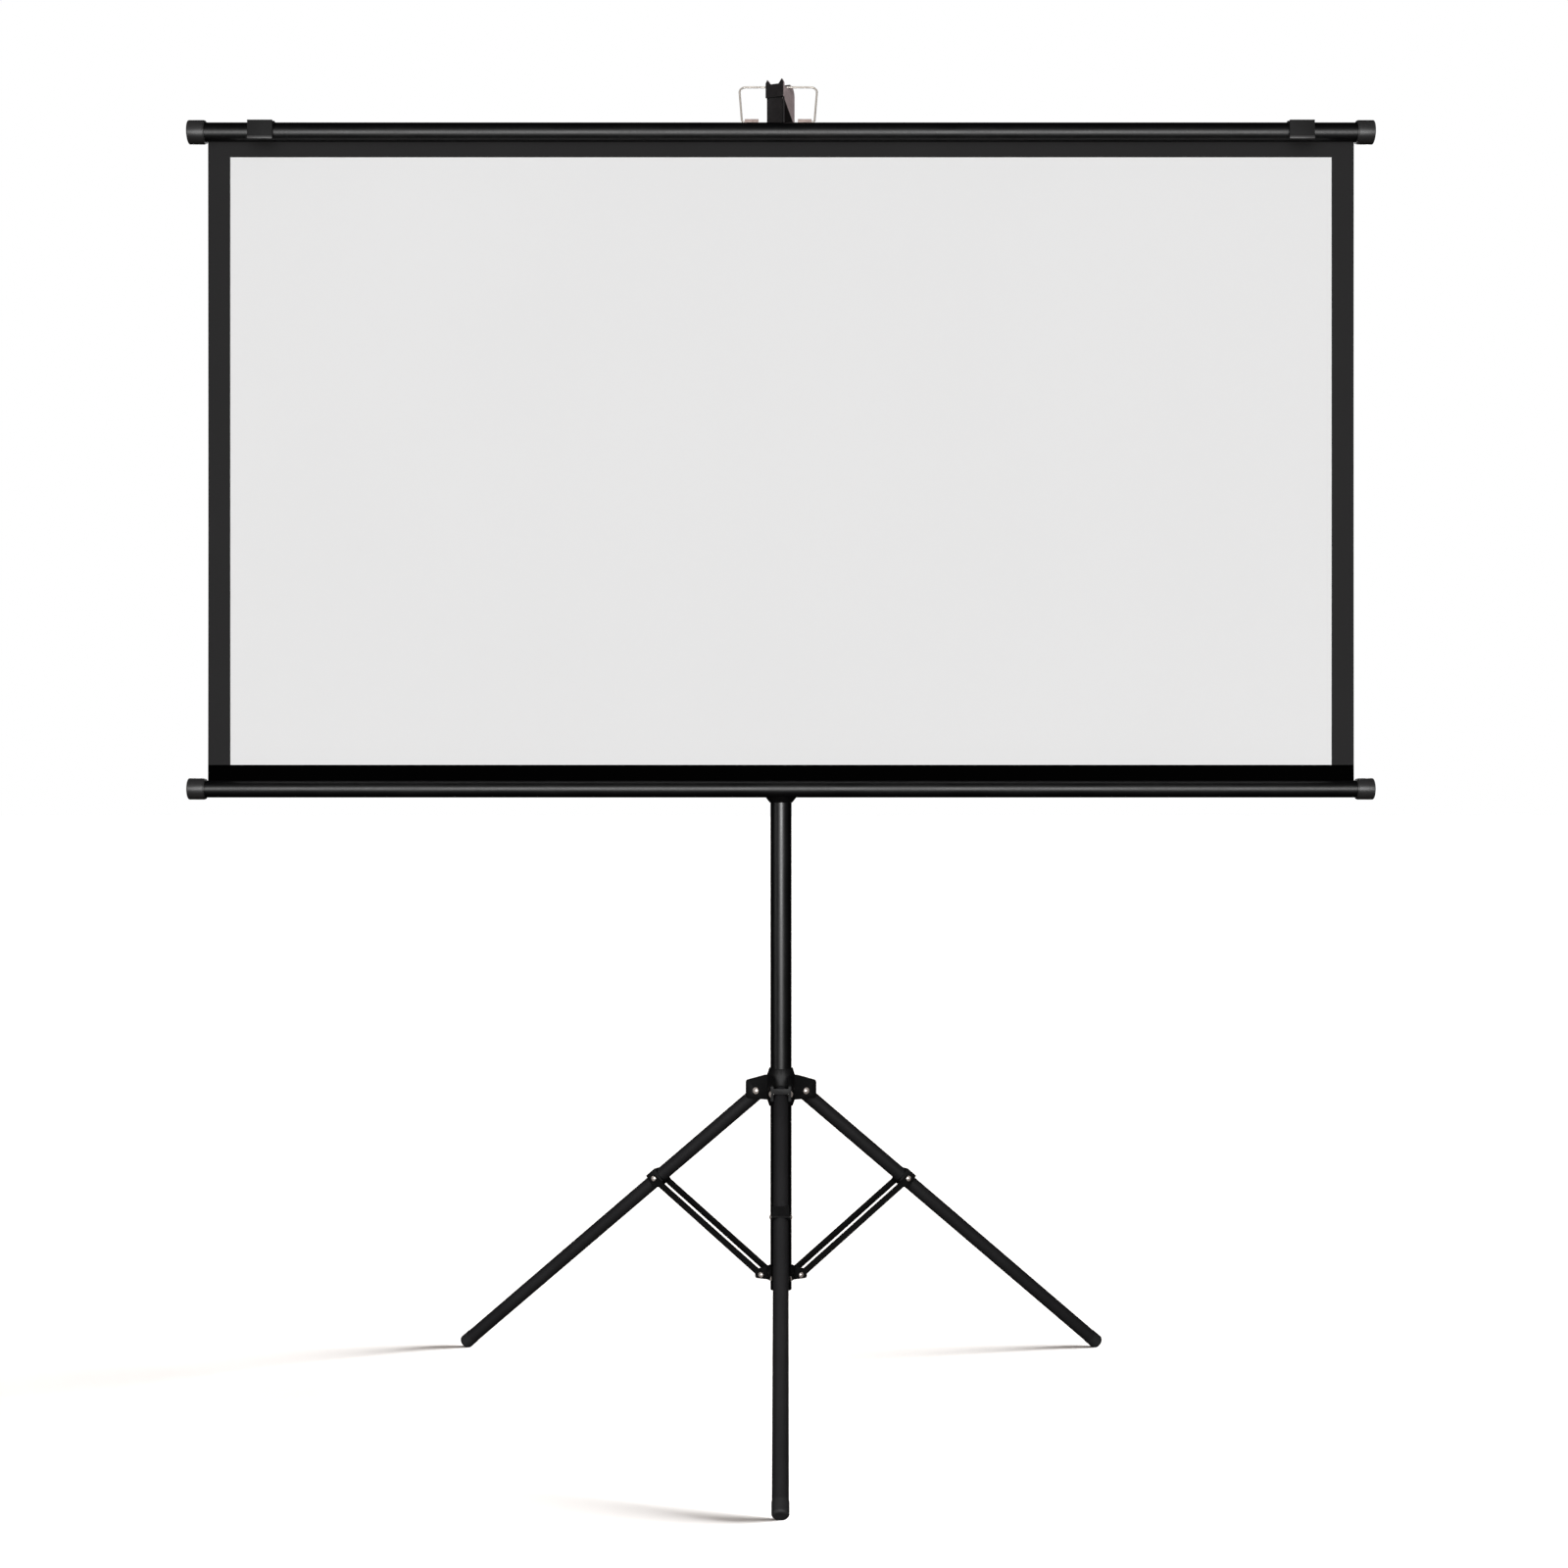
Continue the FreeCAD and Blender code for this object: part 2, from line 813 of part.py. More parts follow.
def make_bracket():
    """The moulded bracket with its flared foot and its pad for the pivot."""
    body = lathe(
        [
            (0, bracket_low_z - bracket_flare_height),
            (bracket_lip_r + slide_fit, bracket_low_z - bracket_flare_height),
            (bracket_flare_r, bracket_low_z),
            (bracket_r, bracket_low_z + bracket_flare_height / 2),
            (bracket_r, bracket_high_z),
            (0, bracket_high_z),
        ]
    )
    pad = block(
        V(-bracket_pad_width / 2, pad_y, case_z - bracket_pad_height / 2),
        V(bracket_pad_width / 2, 0, case_z + bracket_pad_height / 2),
    )
    pad = round_edges(
        pad,
        cradle_round,
        lambda edge: runs_along(edge, Y_AXIS),
    )
    boss = rod(
        knob_boss_r,
        V(0, 0, bracket_knob_z()),
        V(0, bracket_r + knob_boss_length, bracket_knob_z()),
    )
    bore = rod(
        bracket_bore_r,
        V(0, 0, bracket_low_z),
        V(0, 0, bracket_high_z + overrun),
    )
    foot_bore = rod(
        sleeve_bore_r,
        V(0, 0, bracket_low_z - bracket_flare_height - overrun),
        V(0, 0, bracket_low_z + overrun),
    )
    pivot_hole = rod(
        pivot_r + slide_fit,
        V(0, 0, case_z),
        V(0, pad_y - overrun, case_z),
    )
    flange_depth = pole_r + free_gap + pivot_flange_thick + free_gap
    flange_hole = rod(
        pivot_flange_r + free_gap,
        V(0, 0, case_z),
        V(0, -flange_depth, case_z),
    )
    cuts = [bore, foot_bore, pivot_hole, flange_hole]
    cuts.append(knob_hole(bracket_r, bracket_knob_z()))
    return body.fuse([pad, boss]).cut(cuts).removeSplitter()


def make_bracket_bushes():
    """The two bushes between the bracket and the pole."""
    bushes = []
    for low_z in (bracket_low_z, bracket_high_z - bracket_bush_length):
        bushes.append(
            tube(
                bracket_bore_r,
                sleeve_bore_r,
                V(0, 0, low_z),
                V(0, 0, low_z + bracket_bush_length),
            )
        )
    bush_low, bush_high = bushes
    clear = knob_hole(bracket_r, bracket_knob_z())
    relief = rod(
        pivot_flange_r + free_gap,
        V(0, 0, case_z),
        V(0, -bracket_r, case_z),
    )
    return Part.makeCompound([bush_low.cut(relief), bush_high.cut(clear)])


def make_pivot_stud():
    """The stud on which the case turns, held by a flange inside the bracket."""
    flange_y = -(pole_r + free_gap)
    flange = rod(
        pivot_flange_r,
        V(0, flange_y, case_z),
        V(0, flange_y - pivot_flange_thick, case_z),
    )
    shank = rod(pivot_r, V(0, flange_y, case_z), V(0, cradle_back_y, case_z))
    return flange.fuse(shank).removeSplitter()


def make_cradle():
    """The plate behind the case, with the stud at its middle."""
    body = block(
        V(-cradle_width / 2, cradle_front_y, case_z - cradle_height / 2),
        V(cradle_width / 2, cradle_back_y, case_z + cradle_height / 2),
    )
    body = round_edges(body, cradle_round, lambda edge: runs_along(edge, Y_AXIS))
    holes = [
        rod(fixing_r, V(x, 0, case_z), V(x, screen_y, case_z))
        for x in (-cradle_rivet_x, cradle_rivet_x)
    ]
    return body.cut(holes)


def make_cradle_rivets():
    """The rivets that hold the case on its plate."""
    inner_y = screen_y + case_bore_r
    rivets = []
    for x in (-cradle_rivet_x, cradle_rivet_x):
        shank = rod(fixing_r, V(x, inner_y - free_gap, case_z), V(x, cradle_back_y, case_z))
        head = dome(fixing_head_r, fixing_head_height, V(x, cradle_back_y, case_z), Y_AXIS)
        rivets.append(shank.fuse(head).removeSplitter())
    return Part.makeCompound(rivets)


# Bars: a tube along X with a slot, and the caps on its ends


def bar_tube(radius, bore_r, z, slot_up):
    """A slotted tube across the screen."""
    body = tube(radius, bore_r, V(-cap_wall_x, screen_y, z), V(cap_wall_x, screen_y, z))
    reach = radius + overrun
    low_z, high_z = (z, z + reach) if slot_up else (z - reach, z)
    slot = block(
        V(-cap_wall_x - overrun, screen_y - slot_width / 2, low_z),
        V(cap_wall_x + overrun, screen_y + slot_width / 2, high_z),
    )
    return body.cut(slot)


def bar_cap(radius, wall, z, side):
    """A cup that closes one end of a tube; side is 1 or -1."""
    outer_r = radius + wall
    end = V(side * half_bar, screen_y, z)
    mouth = V(side * (half_bar - cap_length), screen_y, z)
    body = rod(outer_r, mouth, end)
    body = round_edges(body, cap_round, lambda edge: is_circle(edge, outer_r))
    inside = rod(
        radius,
        V(side * (half_bar - cap_length - overrun), screen_y, z),
        V(side * cap_wall_x, screen_y, z),
    )
    return body.cut(inside)


def make_case_tube():
    """The case, a slotted tube with the holes for its rivets."""
    holes = [
        rod(fixing_r, V(x, screen_y, case_z), V(x, 0, case_z))
        for x in (-cradle_rivet_x, cradle_rivet_x)
    ]
    return bar_tube(case_r, case_bore_r, case_z, True).cut(holes)


def make_case_cap(side):
    """A case end cap with the boss that carries the roller's end."""
    cap = bar_cap(case_r, case_cap_wall, case_z, side)
    boss = tube(
        case_bore_r - slide_fit,
        axle_r + slide_fit,
        V(side * cap_boss_x, screen_y, case_z),
        V(side * cap_wall_x, screen_y, case_z),
    )
    return cap.fuse(boss).removeSplitter()


def make_top_tube():
    """The top bar's slotted tube."""
    return bar_tube(top_r, top_bore_r, top_z, False)


def make_hem_rod():
    """The rod that holds the fabric's hem in the top tube."""
    z = top_z - top_bore_r + hem_rod_r
    half = fabric_width / 2
    return rod(hem_rod_r, V(-half, screen_y, z), V(half, screen_y, z))


# Roller and its spring


def make_roller_tube():
    """The roller's tube."""
    return tube(
        roller_r,
        roller_bore_r,
        V(-roller_tube_x, screen_y, case_z),
        V(roller_tube_x, screen_y, case_z),
    )


def roller_plug(side):
    """The plug in one end of the roller."""
    flange = rod(
        roller_r,
        V(side * roller_tube_x, screen_y, case_z),
        V(side * roller_end_x, screen_y, case_z),
    )
    spigot = rod(
        roller_bore_r - slide_fit,
        V(side * (roller_tube_x - roller_plug_depth), screen_y, case_z),
        V(side * roller_tube_x, screen_y, case_z),
    )
    return flange.fuse(spigot).removeSplitter()


def make_roller_plug_left():
    """The plug with the pin that turns in the left cap."""
    pin = rod(
        axle_r,
        V(-roller_end_x, screen_y, case_z),
        V(-cap_boss_x - axle_in_cap, screen_y, case_z),
    )
    return roller_plug(-1).fuse(pin).removeSplitter()


def make_roller_plug_right():
    """The plug that turns on the fixed spring rod."""
    bore = rod(
        axle_r + slide_fit,
        V(roller_tube_x - roller_plug_depth - overrun, screen_y, case_z),
        V(roller_end_x + overrun, screen_y, case_z),
    )
    return roller_plug(1).cut(bore)


def make_fabric_wraps():
    """The turns of fabric that stay on the roller."""
    half = fabric_width / 2
    return tube(
        wrap_r,
        roller_r,
        V(-half, screen_y, case_z),
        V(half, screen_y, case_z),
    )


def make_spring_rod():
    """The fixed rod inside the roller, with the spring's stop."""
    start_x = cap_boss_x + axle_in_cap
    stop_x = roller_tube_x - spring_inset - spring_length
    stop_end_x = stop_x - spring_stop_length
    end_x = stop_end_x - spring_rod_past
    shank = rod(axle_r, V(end_x, screen_y, case_z), V(start_x, screen_y, case_z))
    stop = rod(
        spring_stop_r, V(stop_end_x, screen_y, case_z), V(stop_x, screen_y, case_z)
    )
    return shank.fuse(stop).removeSplitter()


def make_roller_spring():
    """The close-wound spring on the rod, as the sleeve that it fills."""
    end_x = roller_tube_x - spring_inset
    return tube(
        axle_r + slide_fit + spring_wire,
        axle_r + slide_fit,
        V(end_x - spring_length, screen_y, case_z),
        V(end_x, screen_y, case_z),
    )


def make_screen_fabric():
    """The stretched screen between the case and the top bar."""
    return block(
        V(-fabric_width / 2, screen_y - fabric_thick / 2, fabric_low_z),
        V(fabric_width / 2, screen_y + fabric_thick / 2, fabric_high_z),
    )


# Clips, bail and hook


def make_clip(side):
    """A C clip that grips the top bar, open downwards, with a flat plate in front."""
    x = side * clip_x
    bore_r = top_r + slide_fit
    outer_r = bore_r + clip_wall
    start = V(x - clip_length / 2, screen_y, top_z)
    end = V(x + clip_length / 2, screen_y, top_z)
    ring = tube(outer_r, bore_r, start, end)
    drop = outer_r + overrun
    spread = drop * math.tan(math.radians(clip_mouth_angle))
    low_x = start.x - overrun
    points = [
        V(low_x, screen_y, top_z),
        V(low_x, screen_y - spread, top_z - drop),
        V(low_x, screen_y + spread, top_z - drop),
    ]
    mouth = Part.Face(Part.makePolygon(points + points[:1]))
    ring = ring.cut(mouth.extrude(V(clip_length + 2 * overrun, 0, 0)))
    lip_high_z = top_z - bore_r * math.cos(math.radians(clip_mouth_angle))
    lip_low_z = lip_high_z - clip_lip_height
    back_y = screen_y - bore_r - clip_plate_gap
    front_y = back_y - clip_plate_thick
    face = block(V(start.x, front_y, lip_low_z), V(end.x, back_y, top_z + clip_plate_rise))
    lip = block(V(start.x, front_y - clip_lip, lip_low_z), V(end.x, back_y, lip_high_z))
    return ring.fuse([face, lip]).removeSplitter()


def make_bail_lugs():
    """The two lugs on the top bar that hold the bail's ends."""
    lugs = []
    for side in (1, -1):
        near = bail_x + side * lug_inner_x
        far = bail_x + side * (lug_inner_x + lug_length)
        low = V(min(near, far), -lug_side / 2, 0)
        high = V(max(near, far), lug_side / 2, top_r + lug_reach + lug_side / 2)
        lug = block(low, high)
        crest = high.z
        lug = round_edges(
            lug,
            lug_side / 4,
            lambda edge, crest=crest: runs_along(edge, X_AXIS)
            and abs(edge.CenterOfMass.z - crest) < same_size,
        )
        hole = rod(
            bail_wire_r + slide_fit,
            V(low.x - overrun, 0, top_r + lug_reach),
            V(high.x + overrun, 0, top_r + lug_reach),
        )
        lug = lug.cut(hole)
        lug.rotate(ORIGIN, X_AXIS, -lug_lean)
        lug.translate(V(0, screen_y, top_z))
        bar = rod(top_r, V(-half_bar, screen_y, top_z), V(half_bar, screen_y, top_z))
        lugs.append(lug.cut(bar))
    return Part.makeCompound(lugs)


def make_bail():
    """The wire loop from the lugs to the hook."""
    end_x = lug_inner_x + lug_length - bail_in_lug
    half = [
        (end_x, lug_axis_y, lug_axis_z),
        (bail_foot_half, lug_axis_y, lug_axis_z),
        (bail_top_half, bail_top_y, bail_top_z),
    ]
    left = [V(bail_x - x, y, z) for x, y, z in half]
    right = [V(bail_x + x, y, z) for x, y, z in reversed(half)]
    bends = [bail_foot_bend, bail_bend, bail_bend, bail_foot_bend]
    return bent_rod(left + right, bends, bail_wire_r)


def make_hook():
    """The hook on the extension, with its throat open at the top."""
    half = hook_width / 2
    horn_top = hook_top_z + hook_horn_height
    back_top = hook_top_z + hook_back_rise
    body = block(V(-half, -hook_front, hook_foot_z), V(half, hook_back, horn_top))
    cuts = [
        # The throat, and the open space above it
        block(
            V(-half - overrun, -hook_throat, hook_throat_z),
            V(half + overrun, 0, horn_top + overrun),
        ),
        # The space over the back, which is lower than the horns
        block(
            V(-half - overrun, -same_size, back_top),
            V(half + overrun, hook_back + overrun, horn_top + overrun),
        ),
        # The neck is set back under the lip
        block(
            V(-half - overrun, -hook_front - overrun, hook_foot_z - overrun),
            V(half + overrun, -hook_front + hook_neck_recess, hook_lip_low_z),
        ),
    ]
    # The dip between the lip's two horns, and the slopes outside them
    tip = half - hook_horn_tip
    rise = horn_top + overrun
    dip = [
        (-half + hook_horn_width, hook_top_z),
        (-tip, horn_top),
        (-tip, rise),
        (tip, rise),
        (tip, horn_top),
        (half - hook_horn_width, hook_top_z),
    ]
    cuts.append(plate(dip, -hook_front - overrun, -same_size))
    for side in (1, -1):
        corner = [
            (side * tip, horn_top),
            (side * half, horn_top - hook_horn_drop),
            (side * (half + overrun), horn_top - hook_horn_drop),
            (side * (half + overrun), rise),
            (side * tip, rise),
        ]
        cuts.append(plate(corner, -hook_front - overrun, -same_size))
        # The neck under the lip is narrower than the lip
        step = side * (half - hook_neck_step)
        edge = side * (half + overrun)
        cuts.append(
            block(
                V(min(step, edge), -hook_front - overrun, hook_foot_z - overrun),
                V(max(step, edge), -hook_throat, hook_lip_low_z),
            )
        )
    body = body.cut(cuts)
    slope = [
        (hook_back - hook_chamfer, hook_foot_z),
        (hook_back, hook_foot_z + hook_chamfer),
        (hook_back, hook_foot_z),
    ]
    points = [V(-half - overrun, y, z) for y, z in slope]
    wedge = Part.Face(Part.makePolygon(points + points[:1]))
    body = body.cut(wedge.extrude(V(hook_width + 2 * overrun, 0, 0)))
    body = round_edges(
        body,
        hook_back_round,
        lambda edge: runs_along(edge, X_AXIS)
        and abs(edge.CenterOfMass.z - back_top) < same_size
        and abs(edge.CenterOfMass.y - hook_back) < same_size,
    )
    spigot = rod(
        extension_bore_r - slide_fit,
        V(0, 0, hook_foot_z - hook_spigot),
        V(0, 0, hook_foot_z),
    )
    body = body.fuse(spigot).removeSplitter()
    body.rotate(ORIGIN, Z_AXIS, hook_yaw)
    z = hook_foot_z - hook_rivet_drop
    return body.cut(rod(fixing_r, V(0, -extension_od, z), V(0, extension_od, z)))


def make_hook_rivet():
    """The rivet that holds the hook in the extension tube."""
    z = hook_foot_z - hook_rivet_drop
    return rivet(
        fixing_r,
        fixing_head_r,
        fixing_head_height,
        V(0, -extension_r, z),
        V(0, extension_r, z),
    )


def build():
    """Make every piece about the pole's axis."""
    nodes = {
        "main_tube": make_pole(),
        "tube_plug": make_pole_plug(),
        "lower_collar": make_lower_collar(),
        "collar_rivets": make_collar_rivets(),
        "collar_screw": make_collar_screw(),
        "leg_hub": make_leg_hub(),
        "hub_rivets": make_hub_rivets(),
        "hub_knob": make_knob(hub_r, hub_pin_z),
        "guide_bush": make_guide_bush(),
        "lock_collar": make_lock_collar(),
        "extension_knob": make_knob(lock_collar_r(), lock_knob_z()),
        "extension_tube": make_extension_tube(),
        "extension_glide": make_extension_glide(),
        "hook": make_hook(),
        "hook_rivet": make_hook_rivet(),
        "case_bracket": make_bracket(),
        "bracket_bushes": make_bracket_bushes(),
        "bracket_knob": make_knob(bracket_r, bracket_knob_z()),
        "pivot_stud": make_pivot_stud(),
        "case_cradle": make_cradle(),
        "cradle_rivets": make_cradle_rivets(),
        "case_tube": make_case_tube(),
        "case_cap_left": make_case_cap(-1),
        "case_cap_right": make_case_cap(1),
        "spring_rod": make_spring_rod(),
        "roller_spring": make_roller_spring(),
        "roller_tube": make_roller_tube(),
        "roller_plug_left": make_roller_plug_left(),
        "roller_plug_right": make_roller_plug_right(),
        "fabric_wraps": make_fabric_wraps(),
        "screen_fabric": make_screen_fabric(),
        "top_tube": make_top_tube(),
        "top_cap_left": bar_cap(top_r, top_cap_wall, top_z, -1),
        "top_cap_right": bar_cap(top_r, top_cap_wall, top_z, 1),
        "hem_rod": make_hem_rod(),
        "bail_lugs": make_bail_lugs(),
        "bail": make_bail(),
        "clip_left": make_clip(-1),
        "clip_right": make_clip(1),
    }
    for name, azimuth in leg_azimuths.items():
        leg = (hub_pin_x, hub_pin_z, leg_angle, azimuth)
        strut = (collar_pin_x, collar_pin_z, -strut_angle, azimuth)
        nodes["leg_tube_" + name] = on_pin(make_leg_tube(), *leg)
        nodes["leg_plug_" + name] = on_pin(make_leg_plug(), *leg)
        nodes["foot_" + name] = cut_sole(on_pin(make_foot(), *leg))
        nodes["saddle_" + name] = on_pin(make_saddle(), *leg)
        nodes["strut_" + name] = on_pin(make_strut(), *strut)
        nodes["strut_rivets_" + name] = on_pin(make_strut_rivets(), *strut)
    return nodes


def report(nodes):
    """Print the sizes that the record needs."""
    print("pole_y", round(pole_y, 3), "screen_y", round(screen_y + pole_y, 3))
    print("hub_pin", round(hub_pin_x, 3), hub_pin_z)
    print("collar_pin", round(collar_pin_x, 3), collar_pin_z)
    print("leg_length", round(leg_length, 3), "foot_reach", round(foot_reach, 3))
    print("strut_length", round(strut_length, 3), "strut_angle", round(strut_angle, 4))
    strut_swing = math.degrees(folded_strut_tilt) - strut_angle
    print("hub_travel", round(hub_travel, 3), "strut_swing", round(strut_swing, 4))
    print("lug_axis", round(lug_axis_y + pole_y, 3), round(lug_axis_z, 3))
    print("wrap_r", wrap_r, "fabric", round(fabric_low_z, 3), round(fabric_high_z, 3))
    print("case_z", case_z, "top_z", top_z, "travel", extension_travel)
    print("knobs", lock_knob_z(), bracket_knob_z(), "leg_swing", leg_folded_angle - leg_angle)
    print("foot", foot_r, foot_round, "angle", leg_angle, "bail", bail_top_y + pole_y)
    whole = Part.makeCompound(list(nodes.values())).BoundBox
    print("box", whole)
    for name, shape in sorted(nodes.items()):
        if not shape.isValid() or not shape.Solids:
            print("BAD", name, shape.isValid(), len(shape.Solids))
        elif len(shape.Solids) > 1:
            print(name, "solids", len(shape.Solids))


os.makedirs("parts", exist_ok=True)
made = build()
for node, piece in made.items():
    piece.translate(V(0, pole_y, 0))
    piece.exportStep("parts/" + node + ".step")
report(made)
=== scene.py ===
"""Dressed model of a portable projection screen on a folding tripod.

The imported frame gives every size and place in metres, with X across the screen,
-Y towards the viewers and +Z up. Each class dresses one sub-assembly: pieces whose
solid shape is right get a finish, and the others are modelled here over their solids.
"""
import json
import logging
import math
from dataclasses import dataclass
from enum import Enum
from typing import Any, Callable, Optional, Sequence

import bmesh
import bpy
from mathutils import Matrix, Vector

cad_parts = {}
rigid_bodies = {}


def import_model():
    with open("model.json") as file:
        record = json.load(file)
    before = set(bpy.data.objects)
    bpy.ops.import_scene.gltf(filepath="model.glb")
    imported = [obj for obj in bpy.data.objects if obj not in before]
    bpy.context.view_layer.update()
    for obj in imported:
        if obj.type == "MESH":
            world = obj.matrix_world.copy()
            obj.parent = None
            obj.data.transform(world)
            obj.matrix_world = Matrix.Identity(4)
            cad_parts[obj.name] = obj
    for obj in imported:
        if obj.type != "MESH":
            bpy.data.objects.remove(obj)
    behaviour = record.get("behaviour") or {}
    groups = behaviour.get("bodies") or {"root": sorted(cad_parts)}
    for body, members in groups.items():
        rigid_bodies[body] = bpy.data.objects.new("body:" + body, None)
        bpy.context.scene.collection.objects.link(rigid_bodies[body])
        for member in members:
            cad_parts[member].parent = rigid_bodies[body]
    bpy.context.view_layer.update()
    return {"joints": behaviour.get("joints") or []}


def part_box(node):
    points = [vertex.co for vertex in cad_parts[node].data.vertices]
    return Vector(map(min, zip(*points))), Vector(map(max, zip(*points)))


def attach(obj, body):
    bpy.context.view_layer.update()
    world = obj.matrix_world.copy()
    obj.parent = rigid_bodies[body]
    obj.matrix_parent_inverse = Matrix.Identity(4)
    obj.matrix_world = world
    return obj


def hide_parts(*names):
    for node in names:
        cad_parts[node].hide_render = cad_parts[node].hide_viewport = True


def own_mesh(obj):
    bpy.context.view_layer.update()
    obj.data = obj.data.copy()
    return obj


LOG = logging.getLogger("projection_screen")

MM = 0.001
ROUND_SIDES = 96
SMOOTH_ANGLE = math.radians(32)
UPRIGHT = math.radians(90)
# Points this near to each other count as one place, and points within MERGED are joined
SAME_PLACE = 0.05 * MM
MERGED = SAME_PLACE / 10
# The wave texture's scale that draws one band in each metre
ONE_BAND = math.pi / 10
# Two noises multiplied lie about between these
NOISE_LOW, NOISE_HIGH = 0.05, 0.5
GLOSSIEST = 0.05

Colour = tuple[float, float, float, float]
FaceTest = Callable[[bmesh.types.BMFace], bool]
EdgeTest = Callable[[bmesh.types.BMEdge], bool]


class Pattern(Enum):
    """The fine relief that a way of making leaves on a surface."""

    ORANGE_PEEL = "orange peel of a baked powder coat"
    SPARK_GRAIN = "spark eroded grain of a moulding tool"
    SOFT_RUBBER = "cloudy skin of moulded rubber"
    SCRATCHES = "fine handling scratches"
    DRAWN_LINES = "long lines of a drawing die"
    SPANGLE = "crystals of a zinc plate"
    CAST_SKIN = "skin of a die casting"
    WEAVE = "crossed threads of a coated cloth"


class Side(Enum):
    """An end of a bar across the screen."""

    LEFT = -1
    RIGHT = 1

    @property
    def word(self) -> str:
        """The side's word in piece names."""
        return self.name.lower()


def to_linear(code: str) -> Colour:
    """Turn an sRGB hex colour to linear.

    Args:
        code: The colour as six hex digits after a hash.

    Returns:
        Linear red, green, blue and an alpha of one.
    """
    values = [int(code[i : i + 2], 16) / 255 for i in (1, 3, 5)]
    red, green, blue = (
        v / 12.92 if v <= 0.04045 else ((v + 0.055) / 1.055) ** 2.4 for v in values
    )
    return (red, green, blue, 1.0)


def add_node(
    tree: bpy.types.NodeTree,
    kind: str,
    settings: Optional[dict[str, Any]] = None,
    inputs: Optional[dict[Any, Any]] = None,
) -> bpy.types.Node:
    """Add a shader node with its settings, values and links.

    Args:
        tree: The node tree that gets the node.
        kind: The node's type name.
        settings: Attributes to set on the node.
        inputs: Values or output sockets by the input's name or number.

    Returns:
        The new node.
    """
    node = tree.nodes.new(kind)
    for name, value in (settings or {}).items():
        setattr(node, name, value)
    for name, value in (inputs or {}).items():
        if isinstance(value, bpy.types.NodeSocket):
            tree.links.new(value, node.inputs[name])
        else:
            node.inputs[name].default_value = value
    return node


